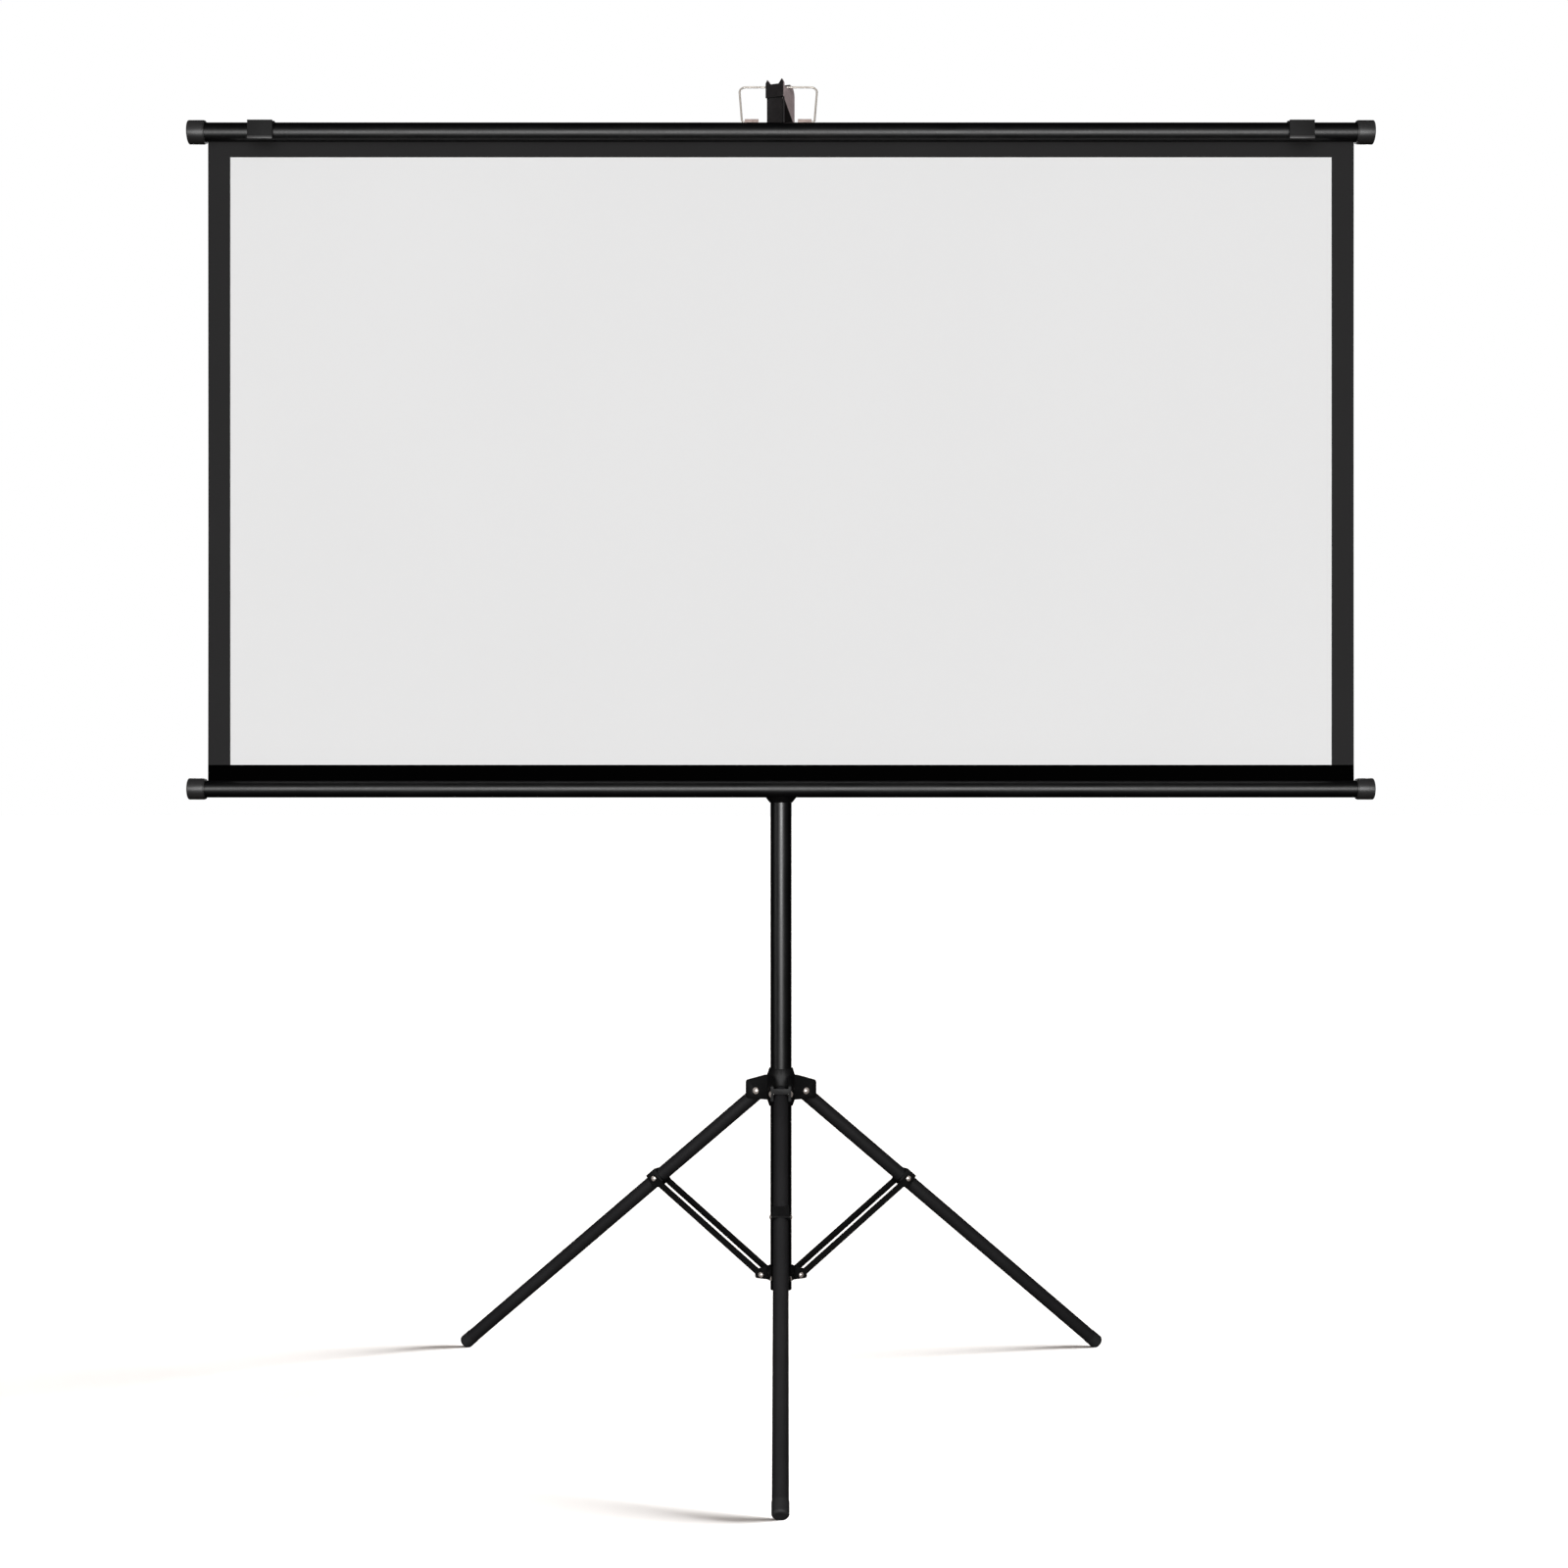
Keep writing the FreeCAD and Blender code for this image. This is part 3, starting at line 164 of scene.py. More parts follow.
@dataclass(frozen=True)
class Finish:
    """One real material with the marks of how its surface was made.

    The pattern's size and depth are millimetres on the object. The stretch draws it
    out along an axis, and the blotch is the size of its slow changes of tone. The tone
    is how far the colour goes to either side, and relief_tone is the relief's part in it.
    """

    name: str
    colour: str
    roughness: float
    pattern: Pattern
    size_mm: float
    depth_mm: float
    metallic: float = 0.0
    ior: float = 1.5
    specular: float = 0.5
    tone: float = 0.12
    relief_tone: float = 0.35
    blotch_mm: float = 70.0
    gloss_spread: float = 0.08
    stretch: tuple[float, float, float] = (1.0, 1.0, 1.0)
    sheen: float = 0.0

    def build(self) -> bpy.types.Material:
        """Make the Blender material.

        Returns:
            The material, with colour, roughness and relief from Object coordinates.
        """
        material = bpy.data.materials.new(self.name)
        material.use_nodes = True
        tree = material.node_tree
        tree.nodes.clear()
        place = add_node(tree, "ShaderNodeTexCoord").outputs["Object"]
        blotch = add_node(
            tree,
            "ShaderNodeTexNoise",
            inputs={"Vector": place, "Scale": 1 / (self.blotch_mm * MM), "Detail": 4.0},
        )
        height = self.relief(tree, place)
        shader = add_node(
            tree,
            "ShaderNodeBsdfPrincipled",
            inputs={
                "Metallic": self.metallic,
                "Specular IOR Level": self.specular,
                "Sheen Weight": self.sheen,
                "Base Color": self.toned(tree, blotch.outputs["Fac"], height),
                "Roughness": self.glossed(tree, blotch.outputs["Fac"], height),
                "Normal": add_node(
                    tree,
                    "ShaderNodeBump",
                    inputs={
                        "Strength": 1.0,
                        "Distance": self.depth_mm * MM,
                        "Height": height,
                    },
                ).outputs["Normal"],
            },
        )
        if not self.metallic:
            shader.inputs["IOR"].default_value = self.ior
        add_node(
            tree,
            "ShaderNodeOutputMaterial",
            inputs={"Surface": shader.outputs["BSDF"]},
        )
        return material

    def relief(
        self, tree: bpy.types.NodeTree, place: bpy.types.NodeSocket
    ) -> bpy.types.NodeSocket:
        """Draw the pattern's height.

        Args:
            tree: The material's nodes.
            place: Object coordinates in metres.

        Returns:
            A height from about 0 to 1.
        """
        scale = 1 / (self.size_mm * MM)
        if self.pattern is Pattern.WEAVE:
            return self.threads(tree, place, scale)
        drawn = add_node(
            tree,
            "ShaderNodeMapping",
            inputs={"Vector": place, "Scale": self.stretch},
        ).outputs["Vector"]
        if self.pattern in (Pattern.SPARK_GRAIN, Pattern.SPANGLE):
            cells = add_node(
                tree,
                "ShaderNodeTexVoronoi",
                settings={"feature": "F1"},
                inputs={"Vector": drawn, "Scale": scale, "Randomness": 1.0},
            )
            return cells.outputs["Distance"]
        detail = {
            Pattern.ORANGE_PEEL: 1.5,
            Pattern.SOFT_RUBBER: 5.0,
            Pattern.SCRATCHES: 3.0,
            Pattern.DRAWN_LINES: 2.0,
            Pattern.CAST_SKIN: 7.0,
        }[self.pattern]
        return add_node(
            tree,
            "ShaderNodeTexNoise",
            inputs={"Vector": drawn, "Scale": scale, "Detail": detail},
        ).outputs["Fac"]

    def threads(
        self, tree: bpy.types.NodeTree, place: bpy.types.NodeSocket, scale: float
    ) -> bpy.types.NodeSocket:
        """Cross two sets of threads, along X and along Z.

        Args:
            tree: The material's nodes.
            place: Object coordinates in metres.
            scale: Threads in a metre.

        Returns:
            The threads' height.
        """
        runs = [
            add_node(
                tree,
                "ShaderNodeTexWave",
                settings={"wave_type": "BANDS", "bands_direction": axis},
                inputs={
                    "Vector": place,
                    "Scale": scale * ONE_BAND,
                    "Distortion": 0.4,
                    "Detail": 1.0,
                },
            ).outputs["Fac"]
            for axis in ("X", "Z")
        ]
        return add_node(
            tree,
            "ShaderNodeMath",
            settings={"operation": "MAXIMUM"},
            inputs={0: runs[0], 1: runs[1]},
        ).outputs["Value"]

    def toned(
        self,
        tree: bpy.types.NodeTree,
        blotch: bpy.types.NodeSocket,
        height: bpy.types.NodeSocket,
    ) -> bpy.types.NodeSocket:
        """Vary the colour a little, slowly over the piece and with the relief.

        Args:
            tree: The material's nodes.
            blotch: The slow changes.
            height: The fine relief.

        Returns:
            The surface colour.
        """
        base = to_linear(self.colour)
        dark = tuple(c * (1 - self.tone) for c in base[:3]) + (1.0,)
        light = tuple(min(1.0, c * (1 + self.tone)) for c in base[:3]) + (1.0,)
        mixed = add_node(
            tree,
            "ShaderNodeMath",
            settings={"operation": "MULTIPLY_ADD"},
            inputs={0: height, 1: self.relief_tone, 2: blotch},
        )
        return add_node(
            tree,
            "ShaderNodeMix",
            settings={"data_type": "RGBA"},
            inputs={"Factor": mixed.outputs["Value"], 6: dark, 7: light},
        ).outputs[2]

    def glossed(
        self,
        tree: bpy.types.NodeTree,
        blotch: bpy.types.NodeSocket,
        height: bpy.types.NodeSocket,
    ) -> bpy.types.NodeSocket:
        """Vary the gloss, as handling and dust do.

        Args:
            tree: The material's nodes.
            blotch: The slow changes.
            height: The fine relief.

        Returns:
            The surface's roughness.
        """
        both = add_node(
            tree,
            "ShaderNodeMath",
            settings={"operation": "MULTIPLY"},
            inputs={0: blotch, 1: height},
        )
        return add_node(
            tree,
            "ShaderNodeMapRange",
            inputs={
                "Value": both.outputs["Value"],
                "From Min": NOISE_LOW,
                "From Max": NOISE_HIGH,
                "To Min": max(GLOSSIEST, self.roughness - self.gloss_spread),
                "To Max": min(1.0, self.roughness + self.gloss_spread),
            },
        ).outputs["Result"]


# Steel tube under a baked black coat: a deep satin skin with a soft orange peel that
# breaks the edge of each highlight. The pole and the bars have it
POWDER_COAT = Finish(
    "powder_coated_steel",
    "#050506",
    roughness=0.4,
    pattern=Pattern.ORANGE_PEEL,
    size_mm=1.6,
    depth_mm=0.02,
)
# The legs have a duller and greyer coat
LEG_COAT = Finish(
    "dull_coated_steel",
    "#1E1E20",
    roughness=0.5,
    pattern=Pattern.ORANGE_PEEL,
    size_mm=1.4,
    depth_mm=0.025,
)
# Blackened strip steel of the struts
STRIP_COAT = Finish(
    "blackened_strip_steel",
    "#060606",
    roughness=0.5,
    pattern=Pattern.SCRATCHES,
    size_mm=0.9,
    depth_mm=0.01,
    specular=0.3,
    tone=0.2,
)
# Glass filled nylon from a spark eroded tool: matt and finely grained
MOULDED_NYLON = Finish(
    "moulded_black_nylon",
    "#0D0D0E",
    roughness=0.5,
    pattern=Pattern.SPARK_GRAIN,
    size_mm=0.9,
    depth_mm=0.03,
    ior=1.53,
    specular=0.22,
)
# ABS caps from a polished tool, greyer than the tubes
ABS_PLASTIC = Finish(
    "moulded_black_abs",
    "#2B2B2C",
    roughness=0.4,
    pattern=Pattern.SPARK_GRAIN,
    size_mm=0.8,
    depth_mm=0.02,
    ior=1.54,
)
# The clips are the same plastic, worn matt
CLIP_PLASTIC = Finish(
    "worn_black_abs",
    "#161617",
    roughness=0.62,
    pattern=Pattern.SPARK_GRAIN,
    size_mm=0.8,
    depth_mm=0.02,
    ior=1.54,
    specular=0.3,
)
# The lips of the clips are painted a lighter grey: a painted highlight along each lip
CLIP_LIP_HIGHLIGHT = Finish(
    "rubbed_black_abs",
    "#3C3C3D",
    roughness=0.4,
    pattern=Pattern.SCRATCHES,
    size_mm=0.7,
    depth_mm=0.01,
    ior=1.54,
)
# Rubber feet: dull, cloudy and dusty
FOOT_RUBBER = Finish(
    "moulded_foot_rubber",
    "#18191B",
    roughness=0.72,
    pattern=Pattern.SOFT_RUBBER,
    size_mm=2.2,
    depth_mm=0.06,
    tone=0.3,
)
# Nickel plated rivets, bright, with fine turning marks
RIVET_NICKEL = Finish(
    "nickel_plated_rivet",
    "#F2E9E2",
    roughness=0.3,
    pattern=Pattern.SCRATCHES,
    size_mm=0.5,
    depth_mm=0.006,
    metallic=0.6,
    tone=0.08,
    blotch_mm=6.0,
)
# Zinc plated rods, springs and screws, whose crystals show as patches of grey
ZINC_STEEL = Finish(
    "zinc_plated_steel",
    "#8E9094",
    roughness=0.36,
    pattern=Pattern.SPANGLE,
    size_mm=3.0,
    depth_mm=0.01,
    metallic=1.0,
    tone=0.18,
)
# Bright drawn steel wire, with long lines from the die
BAIL_WIRE = Finish(
    "drawn_steel_wire",
    "#D9D3CB",
    roughness=0.3,
    pattern=Pattern.DRAWN_LINES,
    size_mm=0.4,
    depth_mm=0.008,
    metallic=0.35,
    stretch=(1.0, 1.0, 0.08),
    blotch_mm=12.0,
)
# Zinc die casting, blackened. On the hook's side below its slanted line this black is
# painted shade
HOOK_CASTING = Finish(
    "blackened_zinc_casting",
    "#171415",
    roughness=0.5,
    pattern=Pattern.CAST_SKIN,
    size_mm=1.8,
    depth_mm=0.05,
    specular=0.2,
    tone=0.3,
    blotch_mm=9.0,
)
# The same casting painted a pinkish grey: painted light where light falls on the hook's
# right side and top
HOOK_PAINTED_LIGHT = Finish(
    "rubbed_zinc_casting",
    "#A99C9F",
    roughness=0.45,
    pattern=Pattern.CAST_SKIN,
    size_mm=2.4,
    depth_mm=0.04,
    specular=0.4,
    tone=0.3,
    blotch_mm=10.0,
)
# The pale steel lugs under the bail, with a pinkish plating
LUG_STEEL = Finish(
    "plated_lug_steel",
    "#C4B1AB",
    roughness=0.4,
    pattern=Pattern.SCRATCHES,
    size_mm=0.7,
    depth_mm=0.01,
    metallic=0.3,
    tone=0.2,
    blotch_mm=9.0,
)
# Natural nylon bushes, off white and waxy
NATURAL_NYLON = Finish(
    "natural_nylon",
    "#D6D1C2",
    roughness=0.45,
    pattern=Pattern.SOFT_RUBBER,
    size_mm=1.2,
    depth_mm=0.01,
    ior=1.53,
)
# Matt white coated cloth, the view area. Its threads are drawn at 1.4 mm, twice the
# real ones, so that they show at all
VIEW_COATING = Finish(
    "matt_white_screen_coating",
    "#EAEDEF",
    roughness=0.92,
    pattern=Pattern.WEAVE,
    size_mm=1.4,
    depth_mm=0.02,
    specular=0.2,
    tone=0.012,
    blotch_mm=400.0,
    gloss_spread=0.04,
)
# The black border printed round the view area, dull enough to swallow stray light
BORDER_PRINT = Finish(
    "black_border_print",
    "#222223",
    roughness=0.85,
    pattern=Pattern.WEAVE,
    size_mm=1.4,
    depth_mm=0.03,
    specular=0.2,
    tone=0.1,
    blotch_mm=120.0,
)
# The strip at the case, painted blacker than the borders: painted shade near the case
LEAD_PAINTED_SHADE = Finish(
    "black_lead_cloth",
    "#020202",
    roughness=0.95,
    pattern=Pattern.WEAVE,
    size_mm=1.4,
    depth_mm=0.04,
    specular=0.0,
    tone=0.2,
    blotch_mm=120.0,
)
# The black light stop on the screen's back
BACKING = Finish(
    "black_cloth_backing",
    "#1C1C1D",
    roughness=0.8,
    pattern=Pattern.WEAVE,
    size_mm=1.6,
    depth_mm=0.05,
    specular=0.3,
    tone=0.16,
    blotch_mm=160.0,
    sheen=0.1,
)


class Palette:
    """Builds each finish once and hands out its material."""

    def __init__(self) -> None:
        """Start with nothing built."""
        self.built: dict[str, bpy.types.Material] = {}

    def material(self, finish: Finish) -> bpy.types.Material:
        """Hand out a finish's material, made when it is first asked for.

        Args:
            finish: The finish.

        Returns:
            Its material.
        """
        if finish.name not in self.built:
            self.built[finish.name] = finish.build()
        return self.built[finish.name]

    def paint(self, piece: bpy.types.Object, finish: Finish) -> None:
        """Give a piece one finish all over.

        Args:
            piece: The object to paint.
            finish: Its finish.
        """
        piece.data.materials.clear()
        piece.data.materials.append(self.material(finish))

    def paint_nodes(self, painted: dict[Finish, Sequence[str]]) -> None:
        """Finish the solids whose shape is right as it is.

        Args:
            painted: The solids' nodes by their finish.
        """
        for finish, nodes in painted.items():
            for node in nodes:
                self.paint(bpy.data.objects[node], finish)


def deselect_all() -> None:
    """Leave edit mode and clear the selection."""
    if bpy.context.object and bpy.context.object.mode != "OBJECT":
        bpy.ops.object.mode_set(mode="OBJECT")
    bpy.ops.object.select_all(action="DESELECT")


class Model:
    """A mesh piece under work, with the edit tools it needs."""

    def __init__(self, piece: bpy.types.Object, name: str) -> None:
        """Name the piece and put its place into its mesh.

        Args:
            piece: A new primitive or copy, active and selected.
            name: The piece's name.
        """
        self.piece = piece
        piece.name = name
        piece.data.name = name
        self.select_only()
        bpy.ops.object.transform_apply(location=True, rotation=True, scale=True)

    @classmethod
    def cylinder(
        cls, name: str, radius: float, low: Vector, high: Vector
    ) -> "Model":
        """Add a cylinder between two points.

        Args:
            name: The piece's name.
            radius: Its radius.
            low: The middle of one end.
            high: The middle of the other end.

        Returns:
            The model of it.
        """
        deselect_all()
        way = high - low
        bpy.ops.mesh.primitive_cylinder_add(
            vertices=ROUND_SIDES,
            radius=radius,
            depth=way.length,
            location=(low + high) / 2,
            rotation=way.to_track_quat("Z", "Y").to_euler(),
        )
        return cls(bpy.context.object, name)

    @classmethod
    def rectangle(cls, name: str, width: float, height: float, middle: Vector) -> "Model":
        """Add an upright rectangle that faces the viewers.

        Args:
            name: The piece's name.
            width: Its size along X.
            height: Its size along Z.
            middle: Its middle.

        Returns:
            The model of it.
        """
        deselect_all()
        bpy.ops.mesh.primitive_plane_add(
            size=1.0, location=middle, rotation=(UPRIGHT, 0.0, 0.0)
        )
        piece = bpy.context.object
        piece.scale = (width, height, 1.0)
        return cls(piece, name)

    @classmethod
    def copy_of(cls, node: str, name: str) -> "Model":
        """Copy a solid's mesh and join its loose triangles.

        Args:
            node: The solid's node.
            name: The copy's name.

        Returns:
            The model of the copy.
        """
        deselect_all()
        source = bpy.data.objects[node]
        piece = bpy.data.objects.new(name, source.data.copy())
        bpy.context.scene.collection.objects.link(piece)
        bpy.context.view_layer.objects.active = piece
        piece.select_set(True)
        model = cls(piece, name)
        model.edit()
        bpy.ops.mesh.select_all(action="SELECT")
        bpy.ops.mesh.remove_doubles(threshold=MERGED)
        bpy.ops.mesh.customdata_custom_splitnormals_clear()
        model.leave()
        return model

    def select_only(self) -> None:
        """Make the piece the only one selected."""
        deselect_all()
        bpy.context.view_layer.objects.active = self.piece
        self.piece.select_set(True)

    def edit(self) -> None:
        """Enter edit mode with nothing selected."""
        self.select_only()
        bpy.ops.object.mode_set(mode="EDIT")
        bpy.ops.mesh.select_all(action="DESELECT")

    def leave(self) -> None:
        """Go back to object mode."""
        bpy.ops.object.mode_set(mode="OBJECT")

    def pick_faces(self, test: FaceTest) -> None:
        """Select the faces that a test picks, and no others.

        Args:
            test: Tells whether a face is wanted.
        """
        bpy.ops.mesh.select_mode(type="FACE")
        bpy.ops.mesh.select_all(action="DESELECT")
        cage = bmesh.from_edit_mesh(self.piece.data)
        for face in cage.faces:
            face.select_set(test(face))
        bmesh.update_edit_mesh(self.piece.data)

    def pick_edges(self, test: EdgeTest) -> None:
        """Select the edges that a test picks, and no others.

        Args:
            test: Tells whether an edge is wanted.
        """
        bpy.ops.mesh.select_mode(type="EDGE")
        bpy.ops.mesh.select_all(action="DESELECT")
        cage = bmesh.from_edit_mesh(self.piece.data)
        for edge in cage.edges:
            edge.select_set(test(edge))
        bmesh.update_edit_mesh(self.piece.data)

    def step(self, test: FaceTest, inset: float, move: Vector) -> None:
        """Inset the picked faces and push the result.

        Args:
            test: Picks the faces.
            inset: How far inside their rim the new faces lie.
            move: How far they are then extruded.
        """
        self.pick_faces(test)
        bpy.ops.mesh.inset(thickness=inset, depth=0.0)
        bpy.ops.mesh.extrude_region_move(TRANSFORM_OT_translate={"value": move})

    def round_over(self, test: EdgeTest, radius: float, segments: int) -> None:
        """Round the picked edges.

        Args:
            test: Picks the edges.
            radius: How far the rounding reaches.
            segments: How many faces it gets.
        """
        self.pick_edges(test)
        bpy.ops.mesh.bevel(offset=radius, segments=segments, affect="EDGES")

    def modify(self, kind: str, **settings: Any) -> None:
        """Add a modifier and apply it.

        Args:
            kind: The modifier's type.
            settings: Its attributes.
        """
        self.select_only()
        modifier = self.piece.modifiers.new(kind.lower(), kind)
        for name, value in settings.items():
            setattr(modifier, name, value)
        bpy.ops.object.modifier_apply(modifier=modifier.name)

    def close(self) -> bpy.types.Object:
        """Merge doubles, turn the faces outwards and smooth the round ones.

        Returns:
            The finished object.
        """
        self.edit()
        bpy.ops.mesh.select_all(action="SELECT")
        bpy.ops.mesh.remove_doubles(threshold=MERGED)
        bpy.ops.mesh.normals_make_consistent(inside=False)
        self.leave()
        self.select_only()
        bpy.ops.object.shade_smooth_by_angle(angle=SMOOTH_ANGLE)
        return self.piece


def install(piece: bpy.types.Object, body: str, node: str) -> None:
    """Put a finished piece on its body, in place of the solid that it stands for.

    Args:
        piece: The finished object.
        body: The body that carries it.
        node: The solid that it stands for.
    """
    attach(piece, body)
    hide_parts(node)
    LOG.info("%s rides on %s", piece.name, body)


@dataclass
class EndCap:
    """A moulded cup on the end of a bar, with a neck at its mouth."""

    node: str
    side: Side
    tube_radius: float
    neck_length: float = 1.4 * MM
    neck_step: float = 0.7 * MM
    corner: float = 1.8 * MM
    corner_faces: int = 5
    shoulder_round: float = 0.6 * MM
    shoulder_faces: int = 4
    rim: float = 2.4 * MM
    dish: float = 0.9 * MM
    boss_inset: float = 3.2 * MM
    socket_floor: float = 3.0 * MM
    small_round: float = 0.35 * MM
    small_faces: int = 2
    middle_reach: float = 1.0 * MM
    square_on: float = 0.9

    def make(self) -> bpy.types.Object:
        """Model the cap from a cylinder by insets and extrusions.

        Returns:
            The finished cap.
        """
        low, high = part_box(self.node)
        out = Vector((self.side.value, 0, 0))
        middle = (low + high) / 2
        radius = (high.z - low.z) / 2
        end_x = max(abs(low.x), abs(high.x)) * self.side.value
        mouth_x = min(abs(low.x), abs(high.x)) * self.side.value
        end = Vector((end_x, middle.y, middle.z))
        mouth = Vector((mouth_x, middle.y, middle.z))
        shoulder = mouth + out * self.neck_length
        dish = out * self.dish
        model = Model.cylinder("moulded_" + self.node, radius, shoulder, end)
        model.edit()
        model.step(self.faces_at(end, out), self.rim, -dish)
        model.step(self.faces_at(end - dish, out), self.boss_inset, dish / 2)
        neck = out * -self.neck_length
        model.step(self.faces_at(shoulder, -out), self.neck_step, neck)
        wall = radius - self.neck_step - self.tube_radius
        depth = (end - mouth).length - self.dish - self.socket_floor
        model.step(self.faces_at(mouth, -out), wall, out * depth)
        for point, ring, rounding, faces in (
            (end, radius, self.corner, self.corner_faces),
            (shoulder, radius, self.shoulder_round, self.shoulder_faces),
            (end, radius - self.rim, self.small_round, self.small_faces),
            (mouth, radius - self.neck_step, self.small_round, self.small_faces),
        ):
            model.round_over(self.ring_at(point, out, ring), rounding, faces)
        model.leave()
        return model.close()

    def faces_at(self, point: Vector, way: Vector) -> FaceTest:
        """Pick the faces square to the bar and about a point of its axis.

        Args:
            point: The point.
            way: The way that the faces look.

        Returns:
            The test for a face.
        """

        def test(face: bmesh.types.BMFace) -> bool:
            """Tell whether the face is one of them."""
            gap = face.calc_center_median() - point
            return (
                face.normal.dot(way) > self.square_on
                and abs(gap.dot(way)) < SAME_PLACE
                and gap.length < self.middle_reach
            )

        return test

    def ring_at(self, point: Vector, out: Vector, radius: float) -> EdgeTest:
        """Pick the edges of a ring round the bar's axis.

        Args:
            point: The ring's middle.
            out: The way along the axis.
            radius: The ring's radius.

        Returns:
            The test for an edge.
        """

        def test(edge: bmesh.types.BMEdge) -> bool:
            """Tell whether both ends of the edge lie on the ring."""
            for vert in edge.verts:
                along = (vert.co - point).dot(out)
                across = (vert.co - point - out * along).length
                if abs(along) > SAME_PLACE or abs(across - radius) > SAME_PLACE:
                    return False
            return True

        return test


class Zone(Enum):
    """A zone of the screen's cloth, with its finish."""

    VIEW = VIEW_COATING
    BORDER = BORDER_PRINT
    LEAD = LEAD_PAINTED_SHADE
    BACK = BACKING


@dataclass
class ScreenCloth:
    """The stretched sheet: white view area, black borders, the lead strip in painted shade,
    and backing.

    The travel is how far its upper edge comes down with the top bar. It is not used.
    """

    palette: Palette
    travel: float
    node: str = "screen_fabric"
    body: str = "case"
    side_border: float = 32.3 * MM
    top_border_z: float = 1.7997
    lead_z: float = 0.9211
    thickness: float = 0.4 * MM
    cell: float = 22 * MM
    ripple: float = 0.5 * MM
    ripple_length: float = 310 * MM
    ripple_drift: float = 2.0
    curl: float = 1.4 * MM
    curl_reach: float = 42 * MM
    facing: float = 0.5

    def make(self) -> None:
        """Model the sheet, paint its zones and put it on the case."""
        low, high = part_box(self.node)
        middle = (low + high) / 2
        width, height = high.x - low.x, high.z - low.z
        model = Model.rectangle("stretched_screen_cloth", width, height, middle)
        model.edit()
        self.cut_grid(low, high)
        model.leave()
        self.relax(model.piece, low, high)
        model.modify("SOLIDIFY", thickness=self.thickness, offset=0.0)
        piece = model.close()
        self.paint_zones(piece, low, high)
        install(piece, self.body, self.node)
        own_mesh(piece)

    def cut_grid(self, low: Vector, high: Vector) -> None:
        """Cut the sheet into cells, with cuts on the lines between its zones.

        Args:
            low: The sheet's lowest corner.
            high: Its highest corner.
        """
        borders = [low.x + self.side_border, high.x - self.side_border]
        across = self.lines(low.x, high.x, borders)
        upright = self.lines(low.z, high.z, [self.lead_z, self.top_border_z])
        for axis, places in ((0, across), (2, upright)):
            for place in places:
                point, normal = Vector(), Vector()
                point[axis], normal[axis] = place, 1.0
                bpy.ops.mesh.select_all(action="SELECT")
                bpy.ops.mesh.bisect(plane_co=point, plane_no=normal)

    def lines(self, start: float, end: float, edges: list[float]) -> list[float]:
        """Places to cut between the zone edges, about a cell apart.

        Args:
            start: The low end.
            end: The high end.
            edges: The places that a cut must take.

        Returns:
            The places, without the two ends.
        """
        stops = [start, *edges, end]
        places = list(edges)
        for low, high in zip(stops, stops[1:]):
            count = max(1, round((high - low) / self.cell))
            places += [low + (high - low) * i / count for i in range(1, count)]
        return sorted(places)

    def relax(self, piece: bpy.types.Object, low: Vector, high: Vector) -> None:
        """Give the taut sheet its slight waves and the curl of its free edges.

        Args:
            piece: The flat sheet.
            low: Its lowest corner.
            high: Its highest corner.
        """
        for vert in piece.data.vertices:
            up = (vert.co.z - low.z) / (high.z - low.z)
            held = math.sin(math.pi * up)
            inward = min(vert.co.x - low.x, high.x - vert.co.x)
            turns = vert.co.x / self.ripple_length
            wave = math.sin(2 * math.pi * turns + self.ripple_drift * up)
            edge = max(0.0, 1 - inward / self.curl_reach) ** 2
            vert.co.y += held * (self.ripple * wave + self.curl * edge)

    def paint_zones(self, piece: bpy.types.Object, low: Vector, high: Vector) -> None:
        """Give each face the finish of its zone.

        Args:
            piece: The sheet with its thickness.
            low: Its lowest corner.
            high: Its highest corner.
        """
        zones = list(Zone)
        piece.data.materials.clear()
        for zone in zones:
            piece.data.materials.append(self.palette.material(zone.value))
        for face in piece.data.polygons:
            face.material_index = zones.index(self.zone_of(face, low, high))

    def zone_of(
        self, face: bpy.types.MeshPolygon, low: Vector, high: Vector
    ) -> Zone:
        """Find the zone that a face lies in.

        Args:
            face: A face of the sheet.
            low: The sheet's lowest corner.
            high: Its highest corner.

        Returns:
            Its zone.
        """
        x, z = face.center.x, face.center.z
        inside = low.x + self.side_border < x < high.x - self.side_border
        if face.normal.y > self.facing:
            return Zone.BACK
        # The strip along the case is painted near black: painted shade
        if z < self.lead_z:
            return Zone.LEAD
        if inside and z < self.top_border_z and face.normal.y < -self.facing:
            return Zone.VIEW
        return Zone.BORDER


@dataclass
class SoftenedMoulding:
    """A moulded or cast piece: its solid's own shape with its edges eased."""

    palette: Palette
    node: str
    body: str
    slot: str
    finish: Finish
    ease: float = 0.5 * MM
    segments: int = 2
    flat_angle: float = math.radians(1)
    sharp_angle: float = math.radians(38)
    prefix: str = "moulded_"

    def make(self) -> None:
        """Copy the solid, ease its edges and put the copy in its place."""
        model = Model.copy_of(self.node, self.prefix + self.node)
        model.edit()
        bpy.ops.mesh.select_all(action="SELECT")
        bpy.ops.mesh.dissolve_limited(angle_limit=self.flat_angle)
        model.leave()
        model.modify(
            "BEVEL",
            width=self.ease,
            segments=self.segments,
            limit_method="ANGLE",
            angle_limit=self.sharp_angle,
            use_clamp_overlap=True,
        )
        piece = model.close()
        self.palette.paint(piece, self.finish)
        install(piece, self.body, self.node)


